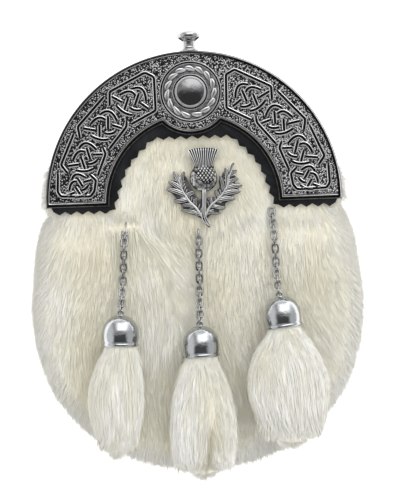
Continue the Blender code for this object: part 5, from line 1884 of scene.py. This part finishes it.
        # the plate stands on the gusset: its length along the side, its face outwards
        points = points[:, [2, 0, 1]]
        spot = np.array([*polar(65.1, turn), self.loop_z])
        stock.add(place(points, spot, (0.0, 0.0, turn)), faces)
        for z in (-5.6, 5.6):
            rows = np.array([(0.4, 0.0), (0.4, 1.3), (0.75, 1.2), (1.05, 0.8), (1.15, 0.0)])
            rivet, rivet_faces = turned(rows, 16)
            rivet = rivet[:, [2, 0, 1]] + [0.0, z, 0.0]
            stock.add(place(rivet, spot, (0.0, 0.0, turn)), rivet_faces)
        line = np.array(self.loop_line)
        line = curve(np.vstack([line, (line * [1, -1])[::-1]]), 6)
        c, s = polar(1.0, turn)
        path = np.stack([line[:, 0] * c - line[:, 1] * s, line[:, 0] * s + line[:, 1] * c], -1)
        stock.add(*sweep(lifted(path, self.loop_z), polar(1.2, around(12))))
        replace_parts(stock.piece("loop_" + side, STEEL, crease=50.0), "strap_loop_" + side)

    def build(self) -> None:
        """Make the leather pieces and the loops."""
        self.panels()
        self.stitching()
        self.gusset()
        self.trim()
        self.loop("right")
        self.loop("left")


# ---------- studio
@dataclass
class Studio:
    """Camera, floor, sky and lamp."""

    spot: Triple = (2.43, -27.49, 1037.0)
    turn: float = -2.0
    lens: float = 135.0
    sensor: float = 36.0
    key: float = 4.0
    table_half: float = 3.0
    table_glow: float = 0.7
    # strengths of the light from the sides and from overhead
    sky: Pair = (1.06, 1.14)
    # strengths of the room that the metal mirrors: ceiling, the lamp card's dim side and its
    # bright one, the pale wall and the grey one
    ceiling: float = 0.08
    card_dim: float = 0.5
    card_bright: float = 2.3
    pale_wall: float = 0.95
    grey_wall: float = 0.7

    def camera(self) -> None:
        """Straight above the pouch, turned as the photograph is."""
        data = bpy.data.cameras.new("camera")
        data.lens, data.sensor_width, data.clip_end = self.lens, self.sensor, 10.0
        camera = stand("camera", data)
        camera.location = Vector(self.spot) * MM
        camera.rotation_euler = (0.0, 0.0, np.radians(self.turn))
        bpy.context.scene.camera = camera

    def floor(self) -> None:
        """A plain pale floor at the height of the pouch's back."""
        far = self.table_half
        mesh = bpy.data.meshes.new("floor")
        mesh.from_pydata([(-far, -far, 0), (far, -far, 0), (far, far, 0), (-far, far, 0)], [], [(0, 1, 2, 3)])
        nodes = Nodes(bpy.data.materials.new("pale_floor"))
        nodes.colour(nodes.ramp(nodes.noise(3.0), (0.3, (0.93, 0.93, 0.93)), (0.7, (0.95, 0.95, 0.95))))
        nodes.fix(Roughness=0.8, Specular_IOR_Level=0.1, Emission_Color=(1.0, 1.0, 1.0, 1.0),
                  Emission_Strength=self.table_glow)
        mesh.materials.append(nodes.owner)
        floor = stand("floor", mesh)

    def world(self) -> None:
        """A broad soft light overhead, and for the metal a room to mirror.

        The room has a lamp card on the upper side of the view that fades in over a dark
        ceiling, a pale wall on the left and at the top, and a grey one on the right. Each
        step eases from what is there to the next thing over a stretch of x or y.
        """
        world = bpy.data.worlds.new("studio")
        bpy.context.scene.world = world
        nodes = Nodes(world)
        axes = nodes.add("SeparateXYZ", {0: nodes.add("TexCoord").outputs["Generated"]})
        x, y, z = (axes.outputs[name] for name in "XYZ")
        card = nodes.ranged(x, -0.55, -0.05, self.card_dim, self.card_bright, ease=True)
        far = nodes.ranged(y, 0.15, 0.6, self.grey_wall, self.pale_wall, ease=True)
        room = nodes.ranged(y, 0.02, 0.20, self.ceiling, self.card_dim, ease=True)
        room = nodes.ranged(y, 0.20, 0.50, room, card, ease=True)
        room = nodes.ranged(y, 0.86, 0.95, room, self.pale_wall, ease=True)
        room = nodes.ranged(y, -0.80, -0.55, self.grey_wall, room, ease=True)
        room = nodes.ranged(x, 0.50, 0.80, room, far, ease=True)
        room = nodes.ranged(x, -0.80, -0.55, self.pale_wall, room, ease=True)
        over = nodes.ranged(z, 0.84, 0.98, *self.sky, ease=True)
        mirrored = nodes.add("LightPath").outputs["Is Glossy Ray"]
        light = world.node_tree.nodes["Background"]
        nodes.feed(light.inputs["Strength"], nodes.add("Mix", {0: mirrored, 2: over, 3: room}).outputs[0])
        light.inputs["Color"].default_value = (1.0, 1.0, 1.0, 1.0)

    def lamp(self) -> None:
        """A broad lamp from the upper right."""
        data = bpy.data.lights.new("key", "AREA")
        data.shape, data.size, data.energy = "DISK", 0.8, self.key
        key = stand("key", data)
        key.location = (0.55, 0.65, 0.95)
        aim = Vector((0.0, -0.03, 0.03)) - key.location
        key.rotation_euler = aim.to_track_quat("-Z", "Y").to_euler()
        key.visible_glossy = False

    def build(self) -> None:
        """Set up the studio."""
        bpy.context.scene.view_settings.view_transform = "Standard"
        self.camera()
        self.floor()
        self.world()
        self.lamp()


def main() -> None:
    """Load the solids, dress them, and light them."""
    logging.basicConfig(level=logging.INFO, format="%(name)s: %(message)s")
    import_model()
    Studio().build()
    for part in (LeatherBody(), Pelt(), Cantle(), Badge(), *DROPS):
        LOG.info("building %s", type(part).__name__)
        part.build()


if __name__ == "__main__":
    main()
